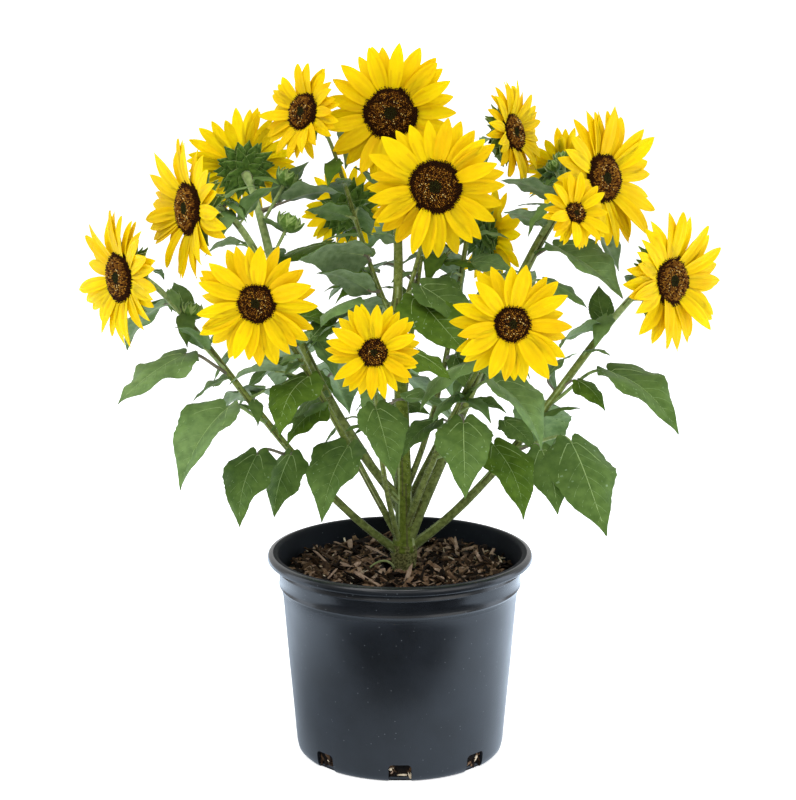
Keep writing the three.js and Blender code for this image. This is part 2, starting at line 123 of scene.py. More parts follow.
def two_tone(tree, place, grain_mm, dark, light, spread=(0.35, 0.65)):
    """A soft noise that wanders between two colours."""
    return colour_ramp(tree, noise(tree, place, grain_mm, 3.0), spread, linear(dark), linear(light))


def bumps(tree, shader, place, grain_mm, depth_mm, detail=2.0):
    """Fine relief from a noise with grains of the given size, and the given depth."""
    height = noise(tree, place, grain_mm, detail)
    inputs = {"Height": height, "Distance": depth_mm / 1000, "Strength": 1.0}
    bump = add_node(tree, "ShaderNodeBump", {}, inputs)
    tree.links.new(bump.outputs["Normal"], shader.inputs["Normal"])


def mapped(tree, value, values, results, **settings):
    """Goes from one result to the other as the value goes between two, and stops at each end."""
    inputs = dict(zip(("From Min", "From Max", "To Min", "To Max"), (*values, *results)))
    inputs["Value"] = value
    return add_node(tree, "ShaderNodeMapRange", settings, inputs).outputs["Result"]


def combined(tree, operation, first, second):
    """Two values added or multiplied."""
    node = add_node(tree, "ShaderNodeMath", {"operation": operation}, {0: first, 1: second})
    return node.outputs["Value"]


# %% [markdown]
# ## Living tissue
# Leaves, stems and rays are all waxy, slightly hairy skin over wet cells. They differ in colour,
# in how rough the skin is, and in how much fine hair catches light at a glancing angle. That
# hair is a sheen on the shader. So one recipe takes those numbers, and each tissue is one line.
# Leaves also differ, so several greens are dealt out leaf by leaf; the darkest is painted shade.

# %% Recipe for living tissue
def tissue(name, dark, light, roughness, grain_mm, depth_mm, sheen=0.0, glow=0.0, gloss=0.35):
    """Plant skin. sheen is its down, and glow is light that scatters just under the skin."""
    settings = {"Roughness": roughness, "IOR": 1.42, "Specular IOR Level": gloss}
    settings |= {"Sheen Weight": sheen, "Sheen Roughness": 0.5}
    if glow:
        settings |= {"Subsurface Weight": glow, "Subsurface Scale": 0.004}
        settings |= {"Subsurface Radius": (1.0, 0.8, 0.15)}
    material, tree, shader, place = new_material(name, settings)
    tree.links.new(two_tone(tree, place, grain_mm, dark, light), shader.inputs["Base Color"])
    bumps(tree, shader, place, grain_mm / 6, depth_mm)
    return material


leaf_tops = [
    tissue("leaf_top_deep", "#425d20", "#546f2e", 0.58, 9.0, 0.25, sheen=0.03, gloss=0.25),
    tissue("leaf_top_mid", "#506d31", "#668442", 0.54, 9.0, 0.25, sheen=0.05, gloss=0.4),
    tissue("leaf_top_fresh", "#547139", "#698748", 0.54, 9.0, 0.25, sheen=0.05, gloss=0.4),
    # Painted shade: a darker copy of the leaf green, dealt to leaves as if they stood in shadow
    tissue("leaf_top_painted_shade", "#3f5912", "#506b1e", 0.6, 9.0, 0.25, gloss=0.12),
]
leaf_backs = [
    tissue("leaf_back_grey", "#5f7a4c", "#7b9468", 0.62, 7.0, 0.4, sheen=0.2),
    tissue("leaf_back_green", "#4f7034", "#6b8a4c", 0.6, 7.0, 0.4, sheen=0.2),
]
leaf_midrib = tissue("leaf_midrib", "#8aa462", "#a4ba7c", 0.5, 5.0, 0.1)
leaf_vein = tissue("leaf_vein", "#6f8b52", "#89a269", 0.5, 5.0, 0.1)
leaf_stalk = tissue("leaf_stalk", "#66803f", "#8a9f5c", 0.5, 5.0, 0.2, sheen=0.2)
leaf_stalk_dusky = tissue("leaf_stalk_dusky", "#5c5848", "#7b745f", 0.5, 5.0, 0.2, sheen=0.2)
stem_old = tissue("stem_old", "#4b5a14", "#6b7a2c", 0.6, 4.0, 0.4, sheen=0.04, gloss=0.15)
stem_bough = tissue("stem_bough", "#4f5a26", "#758143", 0.6, 4.0, 0.4, sheen=0.08, gloss=0.2)
stem_green = tissue("stem_green", "#5a6926", "#7f8b42", 0.56, 4.0, 0.35, sheen=0.1, gloss=0.25)
stem_young = tissue("stem_young", "#748a48", "#98aa6a", 0.55, 4.0, 0.3, sheen=0.25)
stem_streak = tissue("stem_streak", "#78854e", "#97a26c", 0.6, 4.0, 0.3, sheen=0.2)
stem_dusk = tissue("stem_dusk", "#42461c", "#5d6033", 0.6, 4.0, 0.4, sheen=0.1, gloss=0.15)
stem_cork = tissue("stem_cork", "#3d3e1b", "#92935c", 0.85, 2.0, 1.2, gloss=0.15)
bract_green = tissue("bract_green", "#3c5a1a", "#628336", 0.55, 4.0, 0.3, sheen=0.06, gloss=0.2)
bract_rim = tissue("bract_rim", "#6d8a3e", "#93ab60", 0.6, 4.0, 0.2, sheen=0.2)
stem_down = tissue("stem_down", "#b9c39a", "#dfe4cc", 0.7, 2.0, 0.05)
print(len(bpy.data.materials), "materials so far")

# %% Rays and florets
ray_golds = [
    tissue("ray_gold", "#d9ae00", "#e3ba00", 0.55, 16.0, 0.12, glow=0.5, gloss=0.08),
    tissue("ray_lemon", "#deb600", "#e7c100", 0.55, 16.0, 0.12, glow=0.5, gloss=0.08),
    tissue("ray_amber", "#d6a500", "#e0b200", 0.55, 16.0, 0.12, glow=0.5, gloss=0.08),
]
ray_root = tissue("ray_root", "#d69b00", "#e0a900", 0.6, 6.0, 0.12, glow=0.5, gloss=0.1)
# Darker gold along the rays' grooves: painted shade, where the sunken grooves would darken the rays
ray_groove_painted_shade = tissue("ray_groove_painted_shade", "#d6a900", "#dfb400", 0.6, 16.0, 0.12, glow=0.5, gloss=0.1)
# The rays' back faces are a lighter gold than their fronts: painted backlight, for light shining
# through the thin rays
ray_back_painted_backlight = tissue("ray_back_painted_backlight", "#eec000", "#f9d000", 0.6, 12.0, 0.15, glow=0.5, gloss=0.15)
disc_bed = tissue("disc_bed", "#140900", "#1f0f01", 0.8, 1.5, 0.3, gloss=0.1)
floret_dark = tissue("floret_dark", "#281303", "#452207", 0.65, 1.5, 0.1, gloss=0.12)
floret_bronze = tissue("floret_bronze", "#63390a", "#8f5b16", 0.6, 1.5, 0.1, gloss=0.15)
floret_gold = tissue("floret_gold", "#946420", "#c28c2e", 0.6, 1.5, 0.1, gloss=0.15)
floret_green = tissue("floret_green", "#1c1d05", "#31350c", 0.6, 1.5, 0.1, gloss=0.12)
pollen = tissue("pollen", "#cfae58", "#ecd592", 0.8, 1.0, 0.05)
print(len(bpy.data.materials), "materials with those of the blooms")

# %% [markdown]
# ## Moulded plastic and bark
# The pot is injection-moulded polypropylene, coloured black with soot. It has a fine satin skin
# from the mould and a little dust. That gives a dark surface with broad, soft highlights, so the
# roughness wanders slightly and pale specks of dust sit on it. The lip and the collar are
# smoother, and the inside is dull. The bark is chipped pine: torn fibres, matt when dry and
# darker when moist. Chips differ, so each one takes one of five browns, and peat lies under them.

# %% Polypropylene and pine bark
def moulded_polypropylene(name, dark, light, smoothest, roughest, gloss):
    """Black plastic with specks of dust, and a roughness that wanders between two values."""
    settings = {"Roughness": roughest, "IOR": 1.49, "Specular IOR Level": gloss}
    material, tree, shader, place = new_material(name, settings)
    skin = two_tone(tree, place, 40.0, dark, light, spread=(0.3, 0.7))
    inputs = {"Vector": place, "Scale": per_metre(7.0), "Randomness": 1.0}
    cells = add_node(tree, "ShaderNodeTexVoronoi", {"feature": "F1"}, inputs).outputs["Distance"]
    dust = colour_ramp(tree, cells, (0.04, 0.075), (0.35, 0.35, 0.35, 1), (0, 0, 0, 1))
    dusted = {0: dust, 6: skin, 7: linear("#8d959c")}
    mix = add_node(tree, "ShaderNodeMix", {"data_type": "RGBA"}, dusted)
    tree.links.new(mix.outputs[2], shader.inputs["Base Color"])
    haze = mapped(tree, noise(tree, place, 25.0, 4.0), (0, 1), (smoothest, roughest))
    tree.links.new(haze, shader.inputs["Roughness"])
    bumps(tree, shader, place, 0.9, 0.05)
    return material


def pine_bark(name, dark, light):
    """Torn, matt fibre."""
    settings = {"Roughness": 0.85, "Specular IOR Level": 0.15}
    material, tree, shader, place = new_material(name, settings)
    tree.links.new(two_tone(tree, place, 5.0, dark, light), shader.inputs["Base Color"])
    bumps(tree, shader, place, 1.6, 0.8, detail=4.0)
    return material


SOOT = ("#0d1116", "#161b22")
pot_plastic = moulded_polypropylene("pot_polypropylene", *SOOT, 0.24, 0.36, 0.5)
pot_inside = moulded_polypropylene("pot_inside_polypropylene", *SOOT, 0.55, 0.75, 0.12)
pot_lip = moulded_polypropylene("pot_lip_polypropylene", "#0e1115", "#171b20", 0.16, 0.26, 0.42)
barks = [
    pine_bark("bark_wet", "#0b0501", "#1c1006"),
    pine_bark("bark_dark", "#2b1d11", "#4b3826"),
    pine_bark("bark_brown", "#5a4431", "#876d55"),
    pine_bark("bark_tan", "#866f5d", "#ac937f"),
    pine_bark("bark_splinter", "#b3a389", "#d9ccb4"),
]
SPLINTER = 4
peat = pine_bark("peat", "#060301", "#120b06")
print(len(bpy.data.materials), "materials with those of the pot and the bark")

# %% [markdown]
# ## Heaps: many small shapes as one mesh
# Thousands of separate objects would be slow, and particles would be lost on export. So every
# kind of small thing, such as all the rays, is gathered in arrays and becomes one mesh, with a
# material slot for each colour. Two shapes do nearly all the work: a closed thin skin over a
# grid of points, for leaves and rays, and a tube along a path, for stems, stalks and veins.

# %% A heap of shapes
def new_thing(name, points, faces, materials=()):
    """A new object in the scene, from points in metres."""
    mesh = bpy.data.meshes.new(name)
    mesh.from_pydata(points, [], faces)
    for material in materials:
        mesh.materials.append(material)
    thing = bpy.data.objects.new(name, mesh)
    bpy.context.scene.collection.objects.link(thing)
    return thing


class Heap:
    """Gathers shapes in millimetres, and makes one mesh of them in metres."""

    def __init__(self, name, slot, materials):
        self.name = name
        self.slot = slot
        self.materials = materials
        self.points = []
        self.faces = []
        self.slots = []
        self.count = 0

    def add(self, points, blocks, slot=0):
        """blocks is a list of arrays of faces. A block is (faces, slot) where it has its own."""
        for block in blocks:
            faces, own = block if isinstance(block, tuple) else (block, slot)
            self.faces.extend((np.asarray(faces) + self.count).tolist())
            self.slots.append(np.broadcast_to(own, len(faces)))
        self.points.append(np.asarray(points, float).reshape(-1, 3))
        self.count += len(self.points[-1])

    def make(self, *nodes, smooth=True):
        """The finished object. It rides on the one body, and stands for the nodes named."""
        points = (np.concatenate(self.points) / 1000).tolist()
        thing = new_thing(self.name, points, self.faces, self.materials)
        polygons = thing.data.polygons
        polygons.foreach_set("material_index", np.concatenate(self.slots).astype(np.int32))
        polygons.foreach_set("use_smooth", [smooth] * len(polygons))
        thing.data.update()
        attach(thing, "root")
        if nodes:
            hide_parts(*nodes)
        triangles = sum(len(face) - 2 for face in self.faces)
        print(self.name, "has", triangles, "triangles")
        return thing


# %% Directions, grids and rings
def unit(vector):
    """The same direction, one long."""
    return vector / (np.linalg.norm(vector, axis=-1, keepdims=True) + 1e-12)


def laid_out(start, *steps):
    """The points that steps lead to from a start. A step is its distances and its direction."""
    return start + sum(np.asarray(far)[..., None] * way for far, way in steps)


def along_and_across(shares, columns):
    """A column of shares along a strap, and a row from -1 to 1 across it."""
    return np.asarray(shares)[:, None], np.linspace(-1, 1, columns)[None, :]


def full_turn(sides):
    """The angles of points spaced evenly round a ring."""
    return 2 * np.pi * np.arange(sides) / sides


def joined_rings(rings, sides):
    """The faces that join rings of points to a closed shape: its wall, first end and last end."""
    index = np.arange(rings * sides).reshape(rings, sides)
    ahead = np.roll(index, -1, axis=1)
    wall = np.stack([index[:-1], ahead[:-1], ahead[1:], index[1:]], axis=-1).reshape(-1, 4)
    return [wall, index[:1, ::-1], index[-1:]]


def inside_out(blocks):
    """The same faces, looking the other way."""
    return [faces[:, ::-1] for faces in blocks]


def fan(ring, tip):
    """Triangles from each pair of neighbours on a ring to one tip."""
    return np.stack([ring, np.roll(ring, -1), np.full_like(ring, tip)], axis=-1)


# %% A thin closed skin, and a tube
def grid_normals(points):
    """The direction square to a grid, at each of its points."""
    return unit(np.cross(np.gradient(points, axis=0), np.gradient(points, axis=1)))


def thin_skin(middle, thickness):
    """A closed sheet round a grid of points: front faces, back faces, and the rim's faces."""
    rows, columns = middle.shape[:2]
    lift = grid_normals(middle) * thickness / 2
    points = np.concatenate([(middle + lift).reshape(-1, 3), (middle - lift).reshape(-1, 3)])
    front = np.arange(rows * columns).reshape(rows, columns)
    back = front + rows * columns
    corners = [front[:-1, :-1], front[1:, :-1], front[1:, 1:], front[:-1, 1:]]
    upper = np.stack(corners, axis=-1).reshape(-1, 4)
    lower = upper[:, ::-1] + rows * columns
    rim = [
        np.stack([front[0, :-1], front[0, 1:], back[0, 1:], back[0, :-1]], axis=-1),
        np.stack([front[-1, 1:], front[-1, :-1], back[-1, :-1], back[-1, 1:]], axis=-1),
        np.stack([front[:-1, 0], back[:-1, 0], back[1:, 0], front[1:, 0]], axis=-1),
        np.stack([front[1:, -1], back[1:, -1], back[:-1, -1], front[:-1, -1]], axis=-1),
    ]
    return points, upper, lower, np.concatenate(rim)


def carried_frames(path):
    """Two directions across a path at each point, turned as little as possible on the way."""
    tangent = unit(np.gradient(path, axis=0))
    normal = np.array((0.3, 1.0, 0.2))
    normals = np.empty_like(path)
    for i, along in enumerate(tangent):
        normal = unit(normal - along * normal.dot(along))
        normals[i] = normal
    return normals, np.cross(tangent, normals)


def tube(path, radii, sides):
    """A closed tube. radii has one radius for each point, or one for each point and side."""
    normal, binormal = carried_frames(path)
    turn = full_turn(sides)[:, None]
    radii = np.asarray(radii, float).reshape(len(path), -1, 1)
    ring = np.cos(turn) * normal[:, None] + np.sin(turn) * binormal[:, None]
    return (path[:, None] + ring * radii).reshape(-1, 3), joined_rings(len(path), sides)


# %% [markdown]
# ## The plant's plan
# Each shoot leaves the main stem as a bare bough and ends in a bloom. Its row says where it
# leaves, where its bloom is and looks, and where its leaves sit. The same rows and the same
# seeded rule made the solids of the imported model, so a leaf grown here lands where its solid is.
# Angles are degrees: a bearing runs round the plant from +X, and the front is at 270. Sizes are
# millimetres.

# %% Shoots of the plant
# foot: height on the main stem. leave: bearing and rise there. head: centre of the bloom's disc.
# face: the way the bloom looks, turned from the front and tipped up. bloom, disc: their widths.
# cup: how far the rays lean forward. petals: how many broad rays the solid has. neck: length of
# the straight run below the bloom. girth: radius at the shoot's foot. bare: share of the shoot
# without leaves. rule: how many leaves the rule adds, and the bearing that they fan round.
# leaves: share along the shoot, bearing, stalk, blade, fall, then rise, turn and roll.
# buds: share along the shoot, bearing, rise, twig length, bud width.
# The rest is where this file follows the real plant more closely than the solids do. turned: the
# way the bloom looks on its bent neck, and its rays' lean. full_disc, full_bloom: widths when
# open. stout: how many times as thick the shoot is. more_leaves: leaves that have no solid.
PLAN = [
  {
    "name": "far_left", "foot": 16, "leave": [184, 33], "head": [-261, -20, 469], "face": [-57, -5],
    "turned": [-52, 1, 8], "full_disc": 47,
    "bloom": 128, "disc": 43, "neck": 45, "girth": 4.7, "bare": 0.25, "petals": 13, "rule": [2, 75],
    "leaves": [
      [0.4, 230, 59, 97, 32, 20, 10], [0.31, 225, 49, 79, 40, 10, 30],
      [0.31, 255, 14, 64, 52, 15, -10], [0.53, 205, 49, 92, 20, 25, 25],
      [0.46, 30, 16, 62, 23, 25, 125, 20],
      [0.54, 235, 41, 41, -40, 40, -15, 20], [0.5, 150, 10, 42, 25, 25, 50],
      [0.7, 100, 12, 36, -45, 30, 20, -20],
    ],
    "buds": [[0.68, 20, 75, 13, 17]],
  },
  {
    "name": "left_low", "foot": 22, "leave": [215, 60], "head": [-128, -110, 459], "face": [-10, 0],
    "bloom": 110, "disc": 36, "neck": 40, "girth": 4.2, "bare": 0.26, "petals": 13, "rule": [1, 120],
    "leaves": [
      [0.53, 240, 10, 80, 26, 20, 10], [0.32, 260, 14, 86, 38, 10, -10],
      [0.44, 235, 13, 55, 27, 10, -5],
      [0.52, 200, 40, 52, 2, 20, 15, 20],
    ],
  },
  {
    "name": "front", "foot": 14, "leave": [225, 66], "head": [-23, -150, 422], "face": [0, 8],
    "full_disc": 27,
    "bloom": 84, "disc": 25, "neck": 40, "girth": 3.4, "bare": 0.3, "petals": 12, "rule": [0, 90],
    "leaves": [[0.55, 270, 14, 73, 44, 15, 20]],
    "more_leaves": [[0.5, 50, 44, 52, 21, 20, -40, 10], [0.8, 20, 36, 48, 22, 15, -55, 10]],
  },
  {
    "name": "left_high", "foot": 67, "leave": [190, 45], "head": [-194, -35, 535], "face": [-60, -12],
    "turned": [-57, 3, 14], "stout": 1.15,
    "bloom": 130, "disc": 49, "neck": 60, "girth": 4.8, "bare": 0.18, "petals": 13, "rule": [2, 100],
    "leaves": [
      [0.26, 150, 36, 45, 21, -2, 65], [0.3, 230, 12, 50, 26, 20, 0, 20],
      [0.64, 235, 44, 35, 11, 30, -20, 25], [0.78, 60, 12, 46, -44, 30, -60, -30],
      [0.48, 55, 13, 41, 9, 20, -80, 20], [0.42, 20, 15, 44, 50, 20, -65],
      [0.43, 330, 16, 38, -29, 30, 70, 30],
    ],
    "buds": [[0.62, 20, 62, 50, 19]],
    "branches": [{
      "from": 0.5, "leave": [150, 68], "head": [-152, 60, 565], "face": [207, 38], "cup": 24,
      "turned": [200, 17, 12], "full_disc": 37, "full_bloom": 112, "stout": 1.35,
      "bloom": 104, "disc": 46, "neck": 45, "girth": 4.2, "petals": 13,
      "leaves": [[0.65, 20, 24, 48, -55, 30, -25, -35], [0.67, 350, 33, 60, -14, 20, -15, -25]],
      "buds": [[0.57, 20, 59, 50, 18]],
    }],
  },
  {
    "name": "right_low", "foot": 38, "leave": [308, 64], "head": [100, -110, 440], "face": [12, 5],
    "bloom": 108, "disc": 34, "neck": 40, "girth": 4.4, "bare": 0.24, "petals": 13, "rule": [0, 90],
    "leaves": [
      [0.41, 280, 57, 82, 40, 10, -10], [0.28, 335, 63, 83, 36, 15, -40],
      [0.52, 325, 35, 82, 32, 20, -15], [0.62, 215, 15, 67, 26, 20, 5, 15],
      [0.43, 20, 22, 34, 0, 20, -45, 20], [0.49, 230, 13, 35, 29, 20, -5, 10],
    ],
  },
  {
    "name": "far_right", "foot": 20, "leave": [358, 33], "head": [254, -10, 464], "face": [49, 2],
    "turned": [42, 5, 13], "full_disc": 49, "stout": 1.15,
    "bloom": 130, "disc": 39, "neck": 50, "girth": 4.8, "bare": 0.26, "petals": 13, "rule": [2, 130],
    "leaves": [
      [0.33, 335, 60, 106, 40, 10, -45], [0.32, 310, 44, 69, 43, 12, -25],
      [0.45, 345, 68, 95, 24, 30, -30], [0.5, 320, 22, 40, 30, 20, -5, 10],
      [0.66, 225, 12, 56, 6, 25, 0, 35], [0.69, 100, 12, 40, -50, 30, 0, -30],
      [0.48, 100, 28, 41, -26, 30, -60, -20], [0.38, 180, 23, 45, 26, 20, 135, 20],
    ],
  },
  {
    "name": "right_high", "foot": 26, "leave": [3, 66], "head": [191, 10, 558], "face": [49, 11],
    "turned": [44, 10, 13], "full_disc": 47, "stout": 1.3,
    "bloom": 134, "disc": 43, "neck": 60, "girth": 5.8, "bare": 0.22, "petals": 13, "rule": [3, 80],
    "leaves": [
      [0.26, 225, 28, 52, 29, 15, -5], [0.34, 20, 36, 51, 34, 15, -65, 10],
      [0.64, 340, 25, 92, 22, 20, -25], [0.84, 220, 27, 53, -20, 10, -20, 20],
      [0.72, 225, 12, 48, -21, 30, -10, 20], [0.55, 320, 39, 51, 23, 20, 5, 10],
    ],
    "buds": [[0.84, 170, 65, 34, 12], [0.84, 110, 70, 40, 13]],
    "branches": [{
      "from": 0.8, "leave": [300, 40], "head": [158, -70, 535], "face": [30, 20],
      "bloom": 68, "disc": 21, "neck": 30, "girth": 2.8, "petals": 13,
    }, {
      "from": 0.75, "leave": [70, 55], "head": [160, 95, 557], "face": [195, 30],
      "bloom": 86, "disc": 38, "neck": 30, "girth": 3.2, "petals": 13,
    }],
  },
  {
    "name": "right_mid", "foot": 78, "leave": [20, 62], "head": [106, 20, 600], "face": [58, 14],
    "turned": [58, 14, 12], "full_disc": 38, "cup": 4,
    "bloom": 93, "disc": 30, "neck": 50, "girth": 3.6, "bare": 0.2, "petals": 13, "rule": [2, 60],
    "leaves": [[0.49, 235, 14, 42, 29, 10, -15, 25], [0.31, 300, 20, 40, 50, 5, 0, 20]],
    "more_leaves": [[0.46, 235, 13, 46, 13, 25, 0, 10], [0.3, 340, 24, 60, 34, 25, -20, 15]],
  },
  {
    "name": "rear_left", "foot": 50, "leave": [135, 50], "head": [-147, 145, 421], "face": [200, 10],
    "bloom": 90, "disc": 36, "neck": 40, "girth": 4, "bare": 0.3, "petals": 12, "rule": [6, 130],
  },
  {
    "name": "rear_right", "foot": 60, "leave": [50, 52], "head": [114, 135, 400], "face": [160, 12],
    "bloom": 86, "disc": 34, "neck": 40, "girth": 4, "bare": 0.3, "petals": 12, "rule": [6, 50],
  },
  {
    "name": "rear_low", "foot": 30, "leave": [100, 50], "head": [-25, 185, 359], "face": [182, 5],
    "bloom": 70, "disc": 26, "neck": 35, "girth": 3.6, "bare": 0.3, "petals": 12, "rule": [5, 90],
    "leaves": [[0.4, 170, 50, 40, 50, 20, 25, 20], [0.56, 335, 13, 40, 9, 20, 0, 20]],
  },
  {
    "name": "rear_high", "foot": 150, "leave": [80, 60], "head": [32, 160, 531], "face": [175, 10],
    "bloom": 100, "disc": 42, "neck": 40, "girth": 3.8, "bare": 0.24, "petals": 12, "rule": [5, 80],
  },
  {
    "name": "back_left", "foot": 190, "leave": [120, 62], "head": [-53, 110, 519], "face": [195, 5],
    "bloom": 88, "disc": 38, "neck": 40, "girth": 2.9, "bare": 0, "petals": 12, "rule": [2, 120],
    "leaves": [[0.29, 255, 22, 57, 4, 32, -45, 45]],
    "more_leaves": [[0.3, 230, 48, 61, 11, 20, 10, 20], [0.2, 205, 40, 58, 24, 20, 5, 30]],
  },
  {
    "name": "back_right", "foot": 226, "leave": [45, 58], "head": [85, 85, 495], "face": [125, 0],
    "bloom": 95, "disc": 36, "neck": 40, "girth": 2.9, "bare": 0, "petals": 12, "rule": [2, 60],
    "leaves": [[0.59, 330, 34, 46, 4, -2, -5, 30]],
  },
  {
    "name": "top_left", "foot": 238, "leave": [178, 62], "head": [-90, 10, 620], "face": [-44, 15],
    "bloom": 90, "disc": 37, "neck": 35, "girth": 2.9, "bare": 0, "petals": 13, "rule": [1, 120],
    "leaves": [
      [0.26, 245, 14, 71, -2, 30, -35, 50], [0.15, 210, 14, 58, -27, 10, -5, 40],
      [0.41, 215, 12, 43, -12, 20, -10, 40],
    ],
  },
  {
    "name": "centre", "foot": 246, "leave": [340, 66], "head": [32, -45, 556], "face": [0, 3],
    "bloom": 128, "disc": 49, "neck": 45, "girth": 2.9, "bare": 0, "petals": 13, "rule": [0, 90],
    "leaves": [[0.16, 322, 20, 74, 28, 25, 0, 20]],
    "more_leaves": [[0.05, 320, 26, 94, 27, 38, -15, 20], [0.05, 300, 19, 34, 10, 10, 20, 10]],
  },
  {
    "name": "top", "foot": 256, "leave": [30, 85], "head": [-9, 20, 618], "face": [0, 5], "stout": 1.35,
    "bloom": 128, "disc": 51, "neck": 45, "girth": 4.2, "bare": 0, "petals": 13, "rule": [2, 80],
    "leaves": [
      [0.46, 150, 14, 39, -32, 20, 5, 40], [0.4, 20, 16, 46, -10, 25],
      [0.28, 260, 14, 30, -17, 10, -55, 30],
    ],
  },
]


def direction(bearing, rise):
    """The way that a bearing and a rise point."""
    b, r = np.radians(bearing), np.radians(rise)
    return np.array([np.cos(b) * np.cos(r), np.sin(b) * np.cos(r), np.sin(r)])


def make_random(seed):
    """A repeatable source of numbers from 0 to 1. One seed gives one stream."""
    state = seed * 7919 + 17

    def draw():
        nonlocal state
        state = state * 48271 % 2147483647
        return state / 2147483647

    return draw


print(len(PLAN), "shoots, with", sum(len(row.get("leaves", [])) for row in PLAN), "placed leaves")

# %% Centre lines of the stem and the shoots
SOIL = 178.0
STEM_HEIGHT = 256.0
STEM_LINE = np.array([
    (4, 0, SOIL), (5, 0, SOIL + STEM_HEIGHT / 3),
    (2, 0, SOIL + STEM_HEIGHT * 2 / 3), (-3, 0, SOIL + STEM_HEIGHT),
])


def bezier(handles, shares):
    """Points on a cubic curve, given its four handles and how far along each point is."""
    t = np.atleast_1d(shares)[:, None]
    a, b, c, d = handles
    return a * (1 - t) ** 3 + 3 * b * (1 - t) ** 2 * t + 3 * c * (1 - t) * t**2 + d * t**3


class Head:
    """The centre of a bloom or a bud, and the way it looks."""

    def __init__(self, centre, looks):
        self.head = centre
        self.look(looks)

    def look(self, looks):
        """Turns it to look this way, and sets the two directions square to that."""
        self.looks = looks
        self.across = unit(np.cross((0, 0, 1), looks))
        self.above = np.cross(looks, self.across)

    def spoke(self, angle):
        """The way straight out from the axis, at an angle round it."""
        angle = np.asarray(angle, float)[..., None]
        return np.cos(angle) * self.across + np.sin(angle) * self.above

    def place(self, radial, angle, forward):
        """Points given by distance from the axis, angle round it, and height along it."""
        return laid_out(self.head, (radial, self.spoke(angle)), (forward, self.looks))


# How far the disc's back is from its centre, as a share of its width, and how far a shoot keeps
# its first direction, as a share of its reach
BACK_OF_DISC = 0.25
FIRST_REACH = 0.38


class Flower(Head):
    """A bloom of the plan, and the centre line that leads to it."""

    def __init__(self, row, start):
        face = direction(row["face"][0] - 90, row["face"][1])
        super().__init__(np.array(row["head"], float), face)
        self.row = row
        self.branches = []
        self.radius = row.get("full_disc", row["disc"]) / 2
        self.reach = row.get("full_bloom", row["bloom"]) / 2
        back = self.head - self.looks * BACK_OF_DISC * row["disc"]
        far = np.linalg.norm(self.head - start)
        first = start + direction(*row["leave"]) * far * FIRST_REACH
        self.line = np.array([start, first, back - self.looks * row["neck"], back])
        if "turned" in row:
            self.look(direction(row["turned"][0] - 90, row["turned"][1]))


shoots = []
flowers = []
for row in PLAN:
    start = bezier(STEM_LINE, row["foot"] / STEM_HEIGHT)[0]
    if row["foot"] == STEM_HEIGHT:
        start = start + (0, 0, 0.3)
    shoot = Flower(row, start)
    for branch in row.get("branches", []):
        shoot.branches.append(Flower(branch, bezier(shoot.line, branch["from"])[0]))
    shoots.append(shoot)
    flowers += [shoot, *shoot.branches]
print(len(flowers), "blooms")

# %% [markdown]
# ## Which leaves grew
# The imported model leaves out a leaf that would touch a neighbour. Its solids are the record of
# that, because each leaf that grew ends in a corner at its tip. So where the plan or the rule
# asks for a leaf, it is grown only if one of the masses has a corner where its tip should be. The
# leaves without a solid, which are the plan's more_leaves and the small ones, skip that test.

# %% Corners of the masses
MASSES = [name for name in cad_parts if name.endswith("_mass")]
BOUGHS = [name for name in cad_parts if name.endswith("_bough")]
TIP_MISS = 1.5


def corners_of(names):
    """Every corner of these nodes, in millimetres."""
    points = []
    for name in names:
        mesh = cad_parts[name].data
        flat = np.empty(len(mesh.vertices) * 3)
        mesh.vertices.foreach_get("co", flat)
        points.append(flat.reshape(-1, 3) * 1000)
    return np.concatenate(points)


corner_points = corners_of(MASSES)
corners = KDTree(len(corner_points))
for i, point in enumerate(corner_points):
    corners.insert(point, i)
corners.balance()


def grew(tip):
    """Whether a mass has a corner where this tip should be."""
    return corners.find(tip)[2] < TIP_MISS


print(len(corner_points), "corners on", len(MASSES), "masses")

# %% [markdown]
# ## Leaf plates
# A sunflower leaf is broad and heart-shaped, with a toothed edge. Three strong veins start at the
# stalk, and thinner ones leave the midrib in pairs. The blade rises from the midrib, sags towards
# its edge, puckers between the veins and curls as it dries. A subdivided plane with modifiers
# could make one leaf. A formula over a grid makes a hundred that all differ, so it is used here.

# %% Leaf surface
# The half width along the leaf, as shares of its length
LEAF_ALONG = [0, 0.03, 0.08, 0.15, 0.24, 0.34, 0.45, 0.56, 0.66, 0.76, 0.85, 0.93, 1]
LEAF_HALF = [0.17, 0.225, 0.27, 0.3, 0.316, 0.312, 0.286, 0.243, 0.19, 0.131, 0.078, 0.034, 0.003]
LEAF_THICKNESS = 0.55
LEAF_TOOTH = 0.018
LEAF_GRID, SMALL_LEAF_GRID = (23, 11), (13, 7)
VEIN_RISE = 0.15
SIDE_VEINS = 6
# Shares of leaves with each top colour. Low leaves take the next deeper green, as painted shade.
TOP_SHARES = [0.36, 0.42, 0.06, 0.16]
SHADED_LEAF_HEIGHT = 345
LOW_LEAF_SHADE_TONE = {1: 0, 2: 1}
rng = np.random.default_rng(7)


